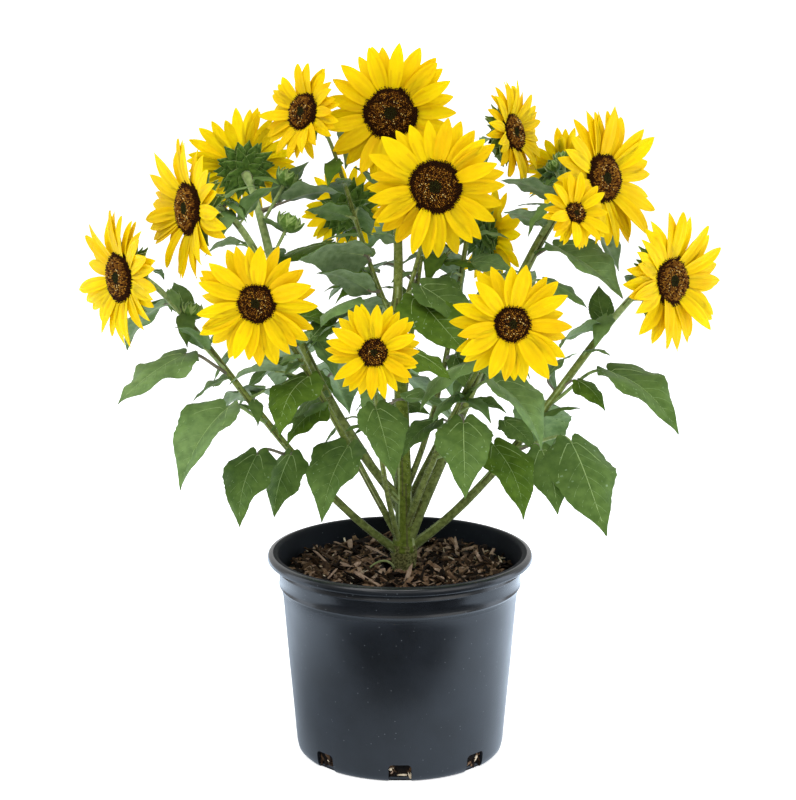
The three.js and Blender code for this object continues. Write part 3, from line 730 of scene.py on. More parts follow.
class Leaf:
    """One leaf's place, and the whims that set it apart from its neighbours."""

    def __init__(self, base, axis, side, length, slim=1.0):
        self.base, self.axis, self.side, self.length, self.slim = base, axis, side, length, slim
        self.face = np.cross(axis, side)
        self.bow = rng.uniform(0.05, 0.1)
        self.gutter = rng.uniform(-0.1, 0.75)
        self.droop = rng.uniform(0.02, 0.13)
        self.wave = rng.uniform(0.02, 0.05)
        self.bays = rng.uniform(0.02, 0.07)
        self.phases = rng.uniform(0, 2 * np.pi, 2)
        self.twist = rng.uniform(-0.25, 0.25)
        self.swerve = rng.uniform(-0.04, 0.04)
        self.top = rng.choice(len(leaf_tops), p=TOP_SHARES)
        # Leaves low on the plant take the next deeper green: painted shade
        if base[2] < SHADED_LEAF_HEIGHT:
            self.top = LOW_LEAF_SHADE_TONE.get(self.top, self.top)
        self.back = len(leaf_tops) + rng.integers(len(leaf_backs))

    def at(self, along, across, teeth=0.0):
        """Points of the middle surface: along 0 to 1 from the stalk, across -1 to 1."""
        u, v = np.broadcast_arrays(np.asarray(along, float), np.asarray(across, float))
        spread = abs(v)
        half = np.interp(u, LEAF_ALONG, LEAF_HALF) * self.slim
        lobe = 0.1 * np.sin(np.pi * spread**0.85) * (1 - np.clip(u / 0.25, 0, 1)) ** 2
        phase = np.where(v < 0, *self.phases)
        half = half * (1 + self.bays * np.sin(13 * u + 2 * phase) * np.sin(np.pi * u) ** 0.5)
        edge = 1 + teeth * (spread > 0.99)
        lift = self.bow * 4 * u * (1 - u) - self.droop * u**3
        lift = lift + half * (self.gutter * spread - 0.32 * spread**2)
        lift = lift + self.wave * spread**3 * np.sin(15 * u + phase) * (1 - u**4)
        veins = 2 * np.pi * (SIDE_VEINS + 1) * (u - 0.75 * spread * half)
        lift = lift - 0.012 * np.cos(veins) * spread * (1 - spread**4)
        turn = self.twist * u
        x = v * half * edge
        sideways = x * np.cos(turn) - lift * np.sin(turn) + self.swerve * np.sin(np.pi * u)
        upward = x * np.sin(turn) + lift * np.cos(turn)
        steps = [(u - lobe, self.axis), (sideways, self.side), (upward, self.face)]
        return laid_out(self.base, *((self.length * far, way) for far, way in steps))

    def normal(self, along, across):
        """The direction square to the upper face."""
        small = 0.01
        here = self.at(along, across)
        du = self.at(np.asarray(along) + small, across) - here
        dv = self.at(along, np.asarray(across) + small) - here
        return unit(np.cross(du, dv))


def add_plate(leaf, rows, columns):
    """The blade, with a tooth at every second row."""
    along = np.linspace(0, 1, rows) ** 0.92
    across = np.linspace(-1, 1, columns)
    teeth = np.where(np.arange(rows) % 2, LEAF_TOOTH, -LEAF_TOOTH)[:, None]
    middle = leaf.at(along[:, None], across[None, :], teeth)
    points, upper, lower, rim = thin_skin(middle, LEAF_THICKNESS)
    leaf_heap.add(points, [(upper, leaf.top), (lower, leaf.back), (rim, leaf.top)])


def add_vein(leaf, along, across, radii, sides, slot):
    """A raised rib that follows the leaf's upper and lower faces."""
    path = leaf.at(along, across) + leaf.normal(along, across) * VEIN_RISE
    points, faces = tube(path, radii, sides)
    vein_heap.add(points, faces, slot)


def add_veins(leaf):
    """The midrib, a fork on each side of it, and thinner side veins."""
    thick = 0.25 + leaf.length / 180
    steps = np.linspace(0.0, 1.0, 10)
    add_vein(leaf, steps * 0.97, 0 * steps, thick * (1.0 - 0.75 * steps), 4, MIDRIB)
    for side in (-1, 1):
        reach = steps[:8] / steps[7]
        fork = 0.02 + 0.4 * reach**1.15
        add_vein(leaf, fork, side * 0.86 * reach**0.8, thick * (0.62 - 0.42 * reach), 4, MIDRIB)
        for k in range(1, SIDE_VEINS + 1):
            root = (k + 0.15 * side * 0.5) / (SIDE_VEINS + 1)
            half = np.interp(root, LEAF_ALONG, LEAF_HALF)
            reach = np.linspace(0, 1, 6)
            if k < 3:
                reach = reach * (0.42 + 0.2 * k)
            path = root + 0.75 * half * reach * (1 - 0.25 * root)
            radii = thick * (0.52 - 0.32 * reach)
            add_vein(leaf, path, side * 0.72 * reach, radii, 3, SIDE_VEIN)


print("a leaf's half width is at most", max(LEAF_HALF), "of its length")

# %% [markdown]
# ## Leaf stalks
# A stalk is a grooved, hairy tube that leaves the stem at a swollen foot, arches over, and runs
# on into the midrib. A Bezier curve gives the arch, and a tube with its own radius at each point
# gives the swelling.

# %% Stalks and placed leaves
leaf_heap = Heap("leaves", "foliage", leaf_tops + leaf_backs)
vein_heap = Heap("leaf_veins", "foliage", [leaf_midrib, leaf_vein])
stalk_heap = Heap("leaf_stalks", "stem", [leaf_stalk, leaf_stalk_dusky, stem_young])
MIDRIB, SIDE_VEIN = range(2)
PALE_STALK = 2
STALK_SHARES = [0.4, 0.35, 0.25]
INTO_STALK = 1.5


def turned(vector, axis, degrees):
    """A vector turned about an axis."""
    angle = np.radians(degrees)
    along = axis * axis.dot(vector) * (1 - np.cos(angle))
    return vector * np.cos(angle) + np.cross(axis, vector) * np.sin(angle) + along


def add_stalk(root, leave, leaf, thick, sides=8):
    """A stalk from a shoot's centre line to the foot of the leaf."""
    run = np.linalg.norm(leaf.base - root)
    arrive = unit(leaf.axis + 0.15 * leaf.face)
    handles = np.array([
        root, root + leave * run * 0.45,
        leaf.base - arrive * run * 0.4, leaf.base + leaf.axis * INTO_STALK,
    ])
    shares = np.linspace(0, 1, 12)
    radii = thick * (1 - 0.25 * shares + 0.75 * np.exp(-((shares * run / 3.5) ** 2)))
    groove = 1 - 0.12 * np.exp(-((full_turn(sides) - np.pi) ** 2))
    points, faces = tube(bezier(handles, shares), radii[:, None] * groove, sides)
    stalk_heap.add(points, faces, int(rng.choice(len(STALK_SHARES), p=STALK_SHARES)))


def grow_leaf(line, row, must_have_grown=True, slim=1.0, small=False):
    """A leaf of a row like the plan's, on a shoot's centre line, unless it never grew."""
    along, bearing, stalk, length, fall = row[:5]
    rise, turn, roll = (list(row[5:]) + [20, 0, 0][len(row) - 5:])
    root = bezier(line, along)[0]
    leave = direction(bearing, rise)
    base = root + leave * stalk
    axis = direction(bearing + turn, -fall)
    if must_have_grown and not grew(base + axis * (length - INTO_STALK)):
        return
    side = turned(direction(bearing + turn + 90, 0), axis, roll)
    leaf = Leaf(base - axis * INTO_STALK, axis, side, length, slim)
    if small:
        add_plate(leaf, *SMALL_LEAF_GRID)
    else:
        add_plate(leaf, *LEAF_GRID)
        add_veins(leaf)
    add_stalk(root, leave, leaf, 0.75 + length / 80)
    grown_leaves.append(leaf)


def ruled_rows(row, draw):
    """The rows that the seeded rule adds to a shoot, fanned round its middle bearing."""
    count, middle = row["rule"]
    for k in range(count):
        along = row["bare"] + 0.12 + (0.72 - row["bare"]) * (k + draw()) / count
        bearing = middle + (1 if k % 2 else -1) * (20 + 50 * draw())
        length = 62 + 30 * draw()
        yield [along, bearing, 24 + 22 * draw(), length, 20 + 35 * draw()]


grown_leaves = []
asked = 0
for index, shoot in enumerate(shoots):
    wanted = []
    for flower in [shoot, *shoot.branches]:
        wanted += [(flower, row, True) for row in flower.row.get("leaves", [])]
        wanted += [(flower, row, False) for row in flower.row.get("more_leaves", [])]
    wanted += [(shoot, row, True) for row in ruled_rows(shoot.row, make_random(index + 1))]
    for flower, row, must_have_grown in wanted:
        grow_leaf(flower.line, row, must_have_grown)
    asked += len(wanted)
print(len(grown_leaves), "of", asked, "leaves grew")

# %% [markdown]
# ## Small leaves near the blooms
# Close below each bloom the leaves are small, narrow and crowded. They are too fine for the
# solids, so a second seeded rule adds them here. One that would stand in front of a bloom, or
# poke through one, is left out, as on the real plant, where blooms push above the leaves.

# %% Small leaves
BOX_SLACK = 3


def in_front_of_a_bloom(leaf):
    """Whether the leaf's axis passes through a bloom, or stands close before it."""
    for flower in flowers:
        for share in (0.3, 0.6, 1.0):
            away = leaf.base + leaf.axis * leaf.length * share - flower.head
            forward = away.dot(flower.looks)
            aside = np.linalg.norm(away - forward * flower.looks)
            near = -0.12 * flower.reach < forward < 2.2 * flower.reach
            if near and aside < 0.95 * flower.reach:
                return True
    return False


def add_small_leaves(flower, count, low, high):
    """Leaves at random between two shares of the shoot, where they stay inside the model's box."""
    lowest, highest = np.array(cad_box) * 1000
    for _ in range(count):
        along = rng.uniform(low, high)
        bearing = rng.uniform(0, 360)
        length = rng.uniform(26, 46) * (1.25 - 0.5 * along)
        stalk, fall, rise = rng.uniform(5, 14), rng.uniform(-30, 45), rng.uniform(5, 50)
        root = bezier(flower.line, along)[0]
        axis = direction(bearing, -fall)
        tip = root + axis * (length + stalk)
        if (tip < lowest - BOX_SLACK).any() or (tip > highest + BOX_SLACK).any():
            continue
        base = root + direction(bearing, rise) * stalk
        trial = Leaf(base, axis, direction(bearing + 90, 0), length)
        if not in_front_of_a_bloom(trial):
            row = [along, bearing, stalk, length, fall, rise]
            grow_leaf(flower.line, row, must_have_grown=False, slim=0.8, small=True)


before = len(grown_leaves)
for shoot in shoots:
    add_small_leaves(shoot, 8, 0.4, 0.93)
    for branch in shoot.branches:
        add_small_leaves(branch, 4, 0.3, 0.9)
print(len(grown_leaves) - before, "small leaves")
leaf_heap.make(*MASSES).data.set_sharp_from_angle(angle=math.radians(60))
vein_heap.make()

# %% [markdown]
# ## Stems
# The main stem is ridged, tapers evenly, and flares where it enters the bark. Its foot is corky,
# and knobs show where shoots leave it. The shoots are younger, so they are smoother and paler
# towards the blooms. Short white hairs cover all of them. A curve with a bevel would give plain
# tubes, so the tubes are built here with a radius at every point and side, which carves ridges.

# %% Main stem and boughs
stem_tones = [stem_old, stem_green, stem_young, stem_cork, stem_streak, stem_dusk, stem_bough]
OLD, GREEN, YOUNG, CORK, STREAK, DUSK, BOUGH = range(len(stem_tones))
stem_heap = Heap("stems", "stem", stem_tones)
hair_spots = []


def ridged(radii, sides, depth, lobes, seed):
    """Radii with lengthwise ridges that wander a little, and small lumps."""
    local = np.random.default_rng(seed)
    drift = np.cumsum(local.normal(0, 0.08, len(radii)))[:, None]
    ridge = depth * np.cos(lobes * full_turn(sides) + drift)
    lumps = local.normal(0, 0.3 * depth, (len(radii), sides))
    smooth = (lumps + np.roll(lumps, 1, 1) + np.roll(lumps, -1, 1)) / 2
    smooth[1:-1] = (smooth[1:-1] + smooth[2:] + smooth[:-2]) / 2
    return radii[:, None] * (1 + ridge + smooth)


def streaked(slot, rows, sides, local):
    """Material slots for a limb's faces: its own, with a few pale and dusky lengthwise streaks."""
    slots = np.full((rows, sides), slot)
    if slot == CORK:
        return slots.reshape(-1)
    for _ in range(sides):
        column = local.integers(sides)
        first = local.integers(-rows // 3, rows)
        last = first + local.integers(rows // 6, rows // 2)
        other = local.choice([STREAK, DUSK, YOUNG], p=[0.15, 0.65, 0.2])
        slots[max(first, 0):max(last, 0), column] = other
    return slots.reshape(-1)


def add_limb(line, first, last, radius_at, sides, steps, slot, seed, hairs=0, depth=0.05):
    """One stretch of a stem, between two shares of its line, and where its hairs stand."""
    shares = np.linspace(first, last, steps)
    radii = ridged(radius_at(shares), sides, depth, 7, seed)
    points, (wall, *ends) = tube(bezier(line, shares), radii, sides)
    streaks = streaked(slot, steps - 1, sides, np.random.default_rng(seed + 500))
    stem_heap.add(points, [(wall, streaks), *ends], slot)
    for _ in range(hairs):
        hair_spots.append((line, radius_at, rng.uniform(first, last), rng.uniform(0, 2 * np.pi)))


def stem_radius(share):
    """The stem's radius: flared in the bark, narrow above it, and swollen where shoots leave."""
    height = share * STEM_HEIGHT
    radius = 8.7 + (5.3 - 8.7) * share + 3.2 * np.exp(-(((height - 16) / 19) ** 2))
    for row in PLAN:
        radius = radius + 0.4 * np.exp(-(((height - row["foot"] - 2) / 4) ** 2))
    return radius


# The shoots are slimmer than their solids
SLIMMER = 0.83


def shoot_radius(flower, taper, collar):
    """The radius along a shoot: swollen where it starts, and flared into the back of its bloom."""
    girth = SLIMMER * flower.row["girth"] * flower.row.get("stout", 1.0)

    def at(share):
        start = collar * np.exp(-((share / 0.05) ** 2))
        end = 0.55 * np.exp(-(((1 - share) / 0.07) ** 2))
        return girth * (1 - taper * share) * (1 + start + end)

    return at


LOW_FOOT = 90
MIDDLE_END = 0.7
corky, corky_overlap = 27 / STEM_HEIGHT, 20 / STEM_HEIGHT
add_limb(STEM_LINE, 0, corky, stem_radius, 44, 34, CORK, 1, depth=0.09)
add_limb(STEM_LINE, corky_overlap, 1, stem_radius, 28, 110, OLD, 2, hairs=900)
for index, shoot in enumerate(shoots):
    radius_at = shoot_radius(shoot, 0.36, 0.3)
    middle = max(shoot.row["bare"], 0.3)
    lowest = BOUGH if shoot.row["foot"] < LOW_FOOT else GREEN
    add_limb(shoot.line, 0, middle, radius_at, 16, 40, lowest, 10 + index, hairs=150)
    add_limb(shoot.line, middle, MIDDLE_END, radius_at, 16, 34, GREEN, 40 + index, hairs=220)
    add_limb(shoot.line, MIDDLE_END, 1, radius_at, 16, 26, YOUNG, 70 + index, hairs=200)
    for number, branch in enumerate(shoot.branches):
        seed = 100 + 3 * index + number
        add_limb(branch.line, 0, 1, shoot_radius(branch, 0.3, 0.4), 12, 40, YOUNG, seed, hairs=150)
print(len(hair_spots), "places for hairs")

# %% A side shoot at the foot
# One pale young shoot curls out of the crown, low on the left, and down to the bark.
curl_line = np.array([(-6, -9, 184), (-12, -12, 196), (-26, -14, 192), (-35, -15, 178)], float)
curl_shares = np.linspace(0, 1, 24)
curl_points, curl_faces = tube(bezier(curl_line, curl_shares), 1.2 - 0.8 * curl_shares**2, 8)
stem_heap.add(curl_points, curl_faces, STREAK)
print("the side shoot has", len(curl_points), "points")

# %% [markdown]
# ## Hairs
# The white down on a sunflower's stems is stiff hair, a millimetre or two long. It shows as a
# pale fringe along their edges. A hair system would be lost on export, so each hair is a spike
# with three sides, rooted in the stem's skin and leaning a little towards the bloom.

# %% Hairs on the stems
HAIR_WIDTH = 0.11
HAIR_FOOT = [(1, 0), (-0.5, 0.87), (-0.5, -0.87)]
HAIR_FACES = np.array([(0, 1, 3), (1, 2, 3), (2, 0, 3), (2, 1, 0)])
hair_heap = Heap("stem_hairs", "stem", [stem_down])
local = np.random.default_rng(11)
for line, radius_at, share, turn in hair_spots:
    here, ahead = bezier(line, [share, min(share + 0.01, 1.0)])
    tangent = unit(ahead - here) if share < 0.99 else unit(line[3] - line[2])
    side = unit(np.cross(tangent, (0.31, 0.2, 0.9)))
    out = side * np.cos(turn) + np.cross(tangent, side) * np.sin(turn)
    root = here + out * radius_at(share) * 0.97
    tip = root + unit(out + 0.35 * tangent) * local.uniform(0.9, 2.1)
    flat = np.cross(out, tangent)
    foot = [root + (flat * x + tangent * y) * HAIR_WIDTH for x, y in HAIR_FOOT]
    hair_heap.add([*foot, tip], [HAIR_FACES])
print(hair_heap.count, "points on the hairs")

# %% [markdown]
# ## Rays
# What looks like one flower is a head of many. Each yellow ray is a flower of its own: a long oval
# strap with a point, a few grooves, a deeper gold at its root, and a slight curl. They overlap in
# two or three rounds. The solids have one broad ray where the plant has two or three, so each of
# theirs is carried finer here: two slim rays, the second a little lower, and sometimes a third
# behind them.

# %% Ray shape
# The half width along the ray, and how far its grooves lift or sink, as shares of that half width
RAY_ALONG = [0, 0.08, 0.2, 0.34, 0.5, 0.64, 0.76, 0.87, 0.95, 1]
RAY_HALF = [0.42, 0.57, 0.8, 0.95, 1.0, 0.95, 0.81, 0.56, 0.29, 0.04]
RAY_GROOVES = np.array([0.0, 0.06, -0.07, 0.05, 0.05, -0.07, 0.06, 0.0])
RAY_ROWS = [0, 0.12, 0.29, 0.47, 0.64, 0.78, 0.89, 0.96, 1]
RAY_THICKNESS = 0.5
RAY_SHARES = [0.5, 0.3, 0.2]
# Rays lean forward by a cup of degrees, every second one by a ruffle more and the rest less
CUP, RUFFLE, LOWEST_RAY = 13, 9, -11
TURNED_RUFFLE, TURNED_SLIM = 4, 0.88
THIRD_RAY_CHANCE = 0.35
ray_heap = Heap("rays", "foliage", ray_golds + [ray_root, ray_back_painted_backlight, ray_groove_painted_shade])
ROOT_TONE, PAINTED_BACKLIGHT_TONE, GROOVE_SHADE_TONE = range(len(ray_golds), len(ray_golds) + 3)


def add_ray(base, axis, side, length, half, curl):
    """One strap of a ray, with its grooves, a slight twist and a coloured root."""
    columns = len(RAY_GROOVES)
    u, v = along_and_across(RAY_ROWS, columns)
    width = half * np.interp(u, RAY_ALONG, RAY_HALF)
    grooves = RAY_GROOVES * np.sin(np.pi * u) ** 0.5
    lift = length * (0.2 * u * (1 - u) - curl * u**3)
    lift = lift + half * (grooves + rng.uniform(-0.1, 0.3) * v**2 * np.sin(np.pi * u))
    lift = lift + half * 0.12 * np.sin(7 * u + rng.uniform(0, 6)) * v * u
    turn = rng.uniform(-0.3, 0.3) * u
    sideways = v * width * np.cos(turn) + length * rng.uniform(-0.05, 0.05) * u**2
    upward = lift + v * width * np.sin(turn)
    face = np.cross(axis, side)
    middle = laid_out(base, (length * u, axis), (sideways, side), (upward, face))
    points, upper, lower, rim = thin_skin(middle, RAY_THICKNESS)
    colour = rng.choice(len(ray_golds), p=RAY_SHARES)
    step, strip = np.divmod(np.arange(len(upper)), columns - 1)
    # Darker lines on the slopes into the two sunken grooves, near the root: painted groove shade
    groove_shaded = ((strip == 1) | (strip == 5)) & (step < rng.integers(3, 7))
    tones = np.where(step < 1, ROOT_TONE, np.where(groove_shaded, GROOVE_SHADE_TONE, colour))
    # The back faces take the lighter gold, which is painted backlight
    ray_heap.add(points, [(upper, tones), (lower, PAINTED_BACKLIGHT_TONE), (rim, colour)])


def add_rays(flower):
    """The rays of one bloom, two or three for each broad one of the solid."""
    row = flower.row
    draw = make_random(round(abs(row["head"][0] * 7 + row["head"][2] * 3)))
    inner = 0.36 * row["disc"]
    cup, ruffle, slim = row.get("cup", CUP), RUFFLE, 1.0
    if "turned" in row:
        cup, ruffle, slim = row["turned"][2], TURNED_RUFFLE, TURNED_SLIM
    step = 2 * np.pi / row["petals"]
    for k in range(row["petals"]):
        middle = step * (k + 0.3 * draw())
        lift = cup + (ruffle if k % 2 else -ruffle) + 8 * (draw() - 0.5)
        span = (flower.reach - inner) * (0.98 + 0.08 * draw())
        extra = [(0.5, 4)] if rng.random() < THIRD_RAY_CHANCE else []
        for half_step, lower in [(-0.25, 0), (0.25, ruffle), *extra]:
            angle = middle + half_step * step + rng.uniform(-0.05, 0.05)
            lean = np.radians(max(lift - lower + rng.uniform(-4, 4), LOWEST_RAY))
            length = span * rng.uniform(0.9, 1.02) / np.cos(lean)
            out = flower.spoke(angle)
            axis = out * np.cos(lean) + flower.looks * np.sin(lean)
            side = np.cross(flower.looks, out)
            deep = flower.looks * flower.radius * rng.uniform(0.0, 0.12)
            half = length * slim * rng.uniform(0.148, 0.178)
            root = flower.head + out * inner - deep
            add_ray(root, axis, side, length, half, rng.uniform(-0.05, 0.12))


for flower in flowers:
    add_rays(flower)
ray_heap.make(*MASSES).data.set_sharp_from_angle(angle=math.radians(60))

# %% [markdown]
# ## Discs
# The dark middle of a head is packed with hundreds of tiny tube flowers. They sit where growth
# puts them: each one is turned by the golden angle from the last. Those at the rim are oldest,
# spiky and nearly black, the next are bronze with gold tips, a few carry cream pollen, and the
# youngest in the middle are greenish. The same spiral rule is used here, with one spike for each.

# %% Florets
GOLDEN_ANGLE = np.pi * (3 - np.sqrt(5))
floret_tones = [disc_bed, floret_dark, floret_bronze, floret_gold, floret_green, pollen]
BED, DARK, BRONZE, GOLD, GREENISH, CREAM = range(len(floret_tones))
disc_heap = Heap("discs", "foliage", floret_tones)
BED_RINGS, BED_SIDES = 9, 28
# Where the kinds of floret lie, as shares of the disc's radius, and how closely they stand
GREEN_HEART, BRONZE_END, RIM_START = 0.24, 0.78, 0.8
POLLEN_FROM, POLLEN_TO, POLLEN_CHANCE = 0.28, 0.6, 0.09
FLORETS_PER_AREA = 0.33
FRINGE_APART = 0.95


def dome(share):
    """Height of the disc's bed at a share of its radius, as a share of that radius."""
    return 0.24 - 0.22 * share**3 - 0.05 * np.exp(-((share / 0.25) ** 2))


def add_spikes(roots, ways, lengths, radii, slots, waist=0.6, sides=4, flare=1.15):
    """Many small pointed tubes at once. waist is how far up the point starts."""
    helper = np.where(abs(ways[:, 2:3]) < 0.9, [[0.0, 0.0, 1.0]], [[1.0, 0.0, 0.0]])
    right = unit(np.cross(ways, helper))
    up = np.cross(ways, right)
    turn = full_turn(sides)[:, None]
    ring = np.cos(turn) * right[:, None] + np.sin(turn) * up[:, None]
    ring = ring * radii[:, None, None]
    low = roots[:, None] + ring
    high = roots[:, None] + ring * flare + (ways * (lengths * waist)[:, None])[:, None]
    tip = (roots + ways * lengths[:, None])[:, None]
    points = np.concatenate([low, high, tip], axis=1)
    wall, foot, rim = joined_rings(2, sides)
    first = (2 * sides + 1) * np.arange(len(roots))[:, None, None]
    blocks = []
    for faces in (wall, fan(rim[0], 2 * sides), foot):
        blocks.append(((first + faces).reshape(-1, faces.shape[1]), np.repeat(slots, len(faces))))
    disc_heap.add(points, blocks)


def add_bed_of_disc(flower):
    """The dark dome that the florets stand on."""
    rings = np.linspace(0, 1, BED_RINGS)[:, None]
    radius = flower.radius
    bed = flower.place(radius * rings, full_turn(BED_SIDES), radius * dome(rings))
    wall = joined_rings(BED_RINGS, BED_SIDES)[0][BED_SIDES:]
    hub = fan(np.arange(BED_SIDES, 2 * BED_SIDES), 0)
    disc_heap.add(bed, [wall[:, ::-1], hub], BED)


def add_florets(flower):
    """Florets in a spiral, and pollen on some of them."""
    radius = flower.radius
    count = int(FLORETS_PER_AREA * (2 * radius) ** 2)
    k = np.arange(count) + 0.5
    share = np.sqrt(k / count)
    angle = k * GOLDEN_ANGLE
    roots = flower.place(radius * share, angle, radius * dome(share) - 0.3)
    at_rim = np.clip((share - RIM_START) / (1 - RIM_START), 0, 1)
    lean = 0.25 * share + 0.5 * at_rim
    out = flower.spoke(angle) * lean[:, None]
    ways = unit(flower.looks + out + rng.normal(0, 0.12, (count, 3)))
    chance = rng.random(count)
    slots = np.full(count, DARK)
    slots[share < GREEN_HEART] = GREENISH
    middle = (share > GREEN_HEART) & (share < BRONZE_END)
    slots[middle & (chance < 0.66)] = BRONZE
    slots[middle & (chance < 0.2)] = GOLD
    tall = 1.4 + 1.5 * np.exp(-(((share - 0.62) / 0.2) ** 2)) + 1.6 * at_rim
    lengths = tall * rng.uniform(0.8, 1.2, count) * (0.6 + radius / 60)
    size = 0.7 * radius * np.sqrt(1 / count) * rng.uniform(0.8, 1.1, count)
    add_spikes(roots, ways, lengths, size, slots)
    dotted = (share > POLLEN_FROM) & (share < POLLEN_TO) & (rng.random(count) < POLLEN_CHANCE)
    spots = (roots + ways * lengths[:, None])[dotted]
    grain = rng.uniform(0.35, 0.6, len(spots))
    add_spikes(spots, ways[dotted], grain * 1.6, grain, np.full(len(spots), CREAM), 0.5)


def add_fringe(flower):
    """Dark spikes round the rim, which lean out over the rays."""
    radius = flower.radius
    count = int(2 * np.pi * radius / FRINGE_APART)
    angle = 2 * np.pi * (np.arange(count) + rng.uniform(-0.3, 0.3, count)) / count
    reach = radius * rng.uniform(0.82, 0.93, count)
    roots = flower.place(reach, angle, radius * 0.02)
    forward = flower.looks * rng.uniform(0.2, 0.9, (count, 1))
    ways = unit(forward + flower.spoke(angle))
    lengths = rng.uniform(1.6, 3.0, count) * (0.5 + radius / 40)
    add_spikes(roots, ways, lengths, np.full(count, 0.5), np.full(count, DARK), 0.45)


for flower in flowers:
    add_bed_of_disc(flower)
    add_florets(flower)
    add_fringe(flower)
disc_heap.make(*MASSES)

# %% [markdown]
# ## Green cups behind the blooms
# Seen from the side or from behind, a head is a shallow green cup. It is wrapped in four rounds
# of pointed bracts that overlap like roof tiles. Their edges are pale with hairs, and their tips
# curl back. Each is a small thin skin with a rim in a paler green.

# %% Cup and bracts
cup_heap = Heap("bracts", "foliage", [bract_green, bract_rim, stem_young])
BRACT, BRACT_RIM = range(2)
BRACT_ALONG = [0, 0.12, 0.3, 0.5, 0.68, 0.82, 0.92, 1]
BRACT_HALF = [0.75, 0.95, 1.0, 0.84, 0.5, 0.24, 0.11, 0.03]
BRACT_COLUMNS = np.array([-1, -0.92, -0.45, 0, 0.45, 0.92, 1])
BRACT_THICKNESS = 0.7
# The cup's profile, as distance from its axis and height along it, in shares of its radius
CUP_PROFILE = np.array([
    (1.0, 0.02), (0.97, -0.12), (0.84, -0.3), (0.66, -0.44), (0.42, -0.53), (0.2, -0.58),
])
CUP_SIDES = 24
# Each round of bracts: distance from the axis, height, lean in degrees, length and number
BRACT_ROUNDS = [
    (0.2, -0.62, -14, 0.74, 7), (0.46, -0.57, -10, 0.8, 9),
    (0.72, -0.46, -5, 0.78, 12), (0.88, -0.36, -2, 0.74, 14),
]


def add_bract_skin(middle, thickness):
    """A thin skin whose edge columns and rim are pale."""
    points, upper, lower, rim = thin_skin(middle, thickness)
    strips = middle.shape[1] - 1
    strip = np.arange(len(upper)) % strips
    tones = np.where((strip == 0) | (strip == strips - 1), BRACT_RIM, BRACT)
    cup_heap.add(points, [(upper, tones), (lower, tones), (rim, BRACT_RIM)])


def add_bract(base, axis, side, length, half, curl):
    """One pointed bract that bows outward and curls at its tip."""
    u, v = np.linspace(0, 1, 6)[:, None], BRACT_COLUMNS
    width = half * np.interp(u, BRACT_ALONG, BRACT_HALF)
    lift = length * (0.14 * u * (1 - u) - curl * u**2) - half * 0.12 * v**2
    face = np.cross(axis, side)
    middle = laid_out(base, (length * u, axis), (v * width, side), (lift, face))
    add_bract_skin(middle, BRACT_THICKNESS)


def add_cup(flower):
    """The green shell behind a bloom, and its rounds of bracts."""
    radius = flower.radius
    reach, height = radius * CUP_PROFILE.T[..., None]
    shell = flower.place(reach, full_turn(CUP_SIDES), height)
    cup_heap.add(shell, inside_out(joined_rings(len(CUP_PROFILE), CUP_SIDES)), BRACT)
    for start, deep, lift, long, count in BRACT_ROUNDS:
        for k in range(count):
            angle = 2 * np.pi * (k + rng.uniform(0.3, 0.7)) / count + deep
            lean = np.radians(lift + rng.uniform(-7, 7))
            out = flower.spoke(angle)
            axis = out * np.cos(lean) + flower.looks * np.sin(lean)
            base = flower.head + (out * start + flower.looks * deep) * radius
            side = unit(np.cross(axis, flower.looks))
            length = radius * long * rng.uniform(0.9, 1.2)
            half = 1.05 * np.pi * radius * (start + 0.28) / count
            add_bract(base, axis, side, length, half, rng.uniform(-0.3, 0.1))


for flower in flowers:
    add_cup(flower)
print(cup_heap.count, "points on the cups")

# %% [markdown]
# ## Buds
# A closed bud is a squat green ball. Its bracts wrap round it from behind and close over the top,
# with their tips apart. So each bract follows a sphere from the back pole towards the front.

# %% Closed buds
# Each round of a bud's bracts: number, how many degrees past the bud's waist they would close,
# and their radius as a share of its width. They start BUD_FOOT degrees from its top, and stop
# a little short.
BUD_ROUNDS = [(6, 84, 0.47), (7, 66, 0.51), (8, 36, 0.55)]
BUD_FOOT = 158
STOP_SHORT = 0.92
BUD_BRACT_THICKNESS = 0.6
CORE_RINGS, CORE_SIDES = 8, 10


def add_bud(shoot, row):
    """A bud on its own twig: a core with bracts closing over it."""
    along, bearing, rise, twig, width = row
    root = bezier(shoot.line, along)[0]
    looks = direction(bearing, rise)
    bud = Head(root + looks * twig, looks)
    handles = np.array([
        root, root + looks * twig * 0.3 + (0, 0, 1),
        bud.head - looks * twig * 0.3, bud.head - looks * width * 0.3,
    ])
    shares = np.linspace(0, 1, 14)
    foot = 1.2 * np.exp(-((shares * twig / 3) ** 2))
    head = np.exp(-(((1 - shares) * twig / 5) ** 2))
    points, faces = tube(bezier(handles, shares), 1.6 + foot + head, 10)
    stalk_heap.add(points, faces, PALE_STALK)
    polar = np.radians(np.linspace(12, 168, CORE_RINGS))[:, None]
    aside, forward = 0.44 * width * np.sin(polar), 0.4 * width * np.cos(polar)
    core = bud.place(aside, full_turn(CORE_SIDES), forward)
    cup_heap.add(core, inside_out(joined_rings(CORE_RINGS, CORE_SIDES)), BRACT)
    u, v = along_and_across(np.linspace(0, 1, 7), 5)
    for ring, (count, past_waist, size) in enumerate(BUD_ROUNDS):
        polar = np.radians(BUD_FOOT - (BUD_FOOT - 90 + past_waist) * STOP_SHORT * u)
        spread = 2.1 * np.pi / count * np.interp(u, BRACT_ALONG, BRACT_HALF)
        radius = size * width * (1 + 0.06 * (1 - v**2) + 0.2 * ring * u**4)
        for k in range(count):
            angle = 2 * np.pi * (k + 0.5 * ring) / count + v * spread
            aside, forward = radius * np.sin(polar) * 1.05, radius * np.cos(polar) * 0.85
            add_bract_skin(bud.place(aside, angle, forward), BUD_BRACT_THICKNESS)


for flower in flowers:
    for row in flower.row.get("buds", []):
        add_bud(flower, row)
cup_heap.make(*MASSES).data.set_sharp_from_angle(angle=math.radians(60))
stalk_heap.make(*MASSES)
stem_heap.make("main_stem", *BOUGHS, *MASSES)
hair_heap.make()

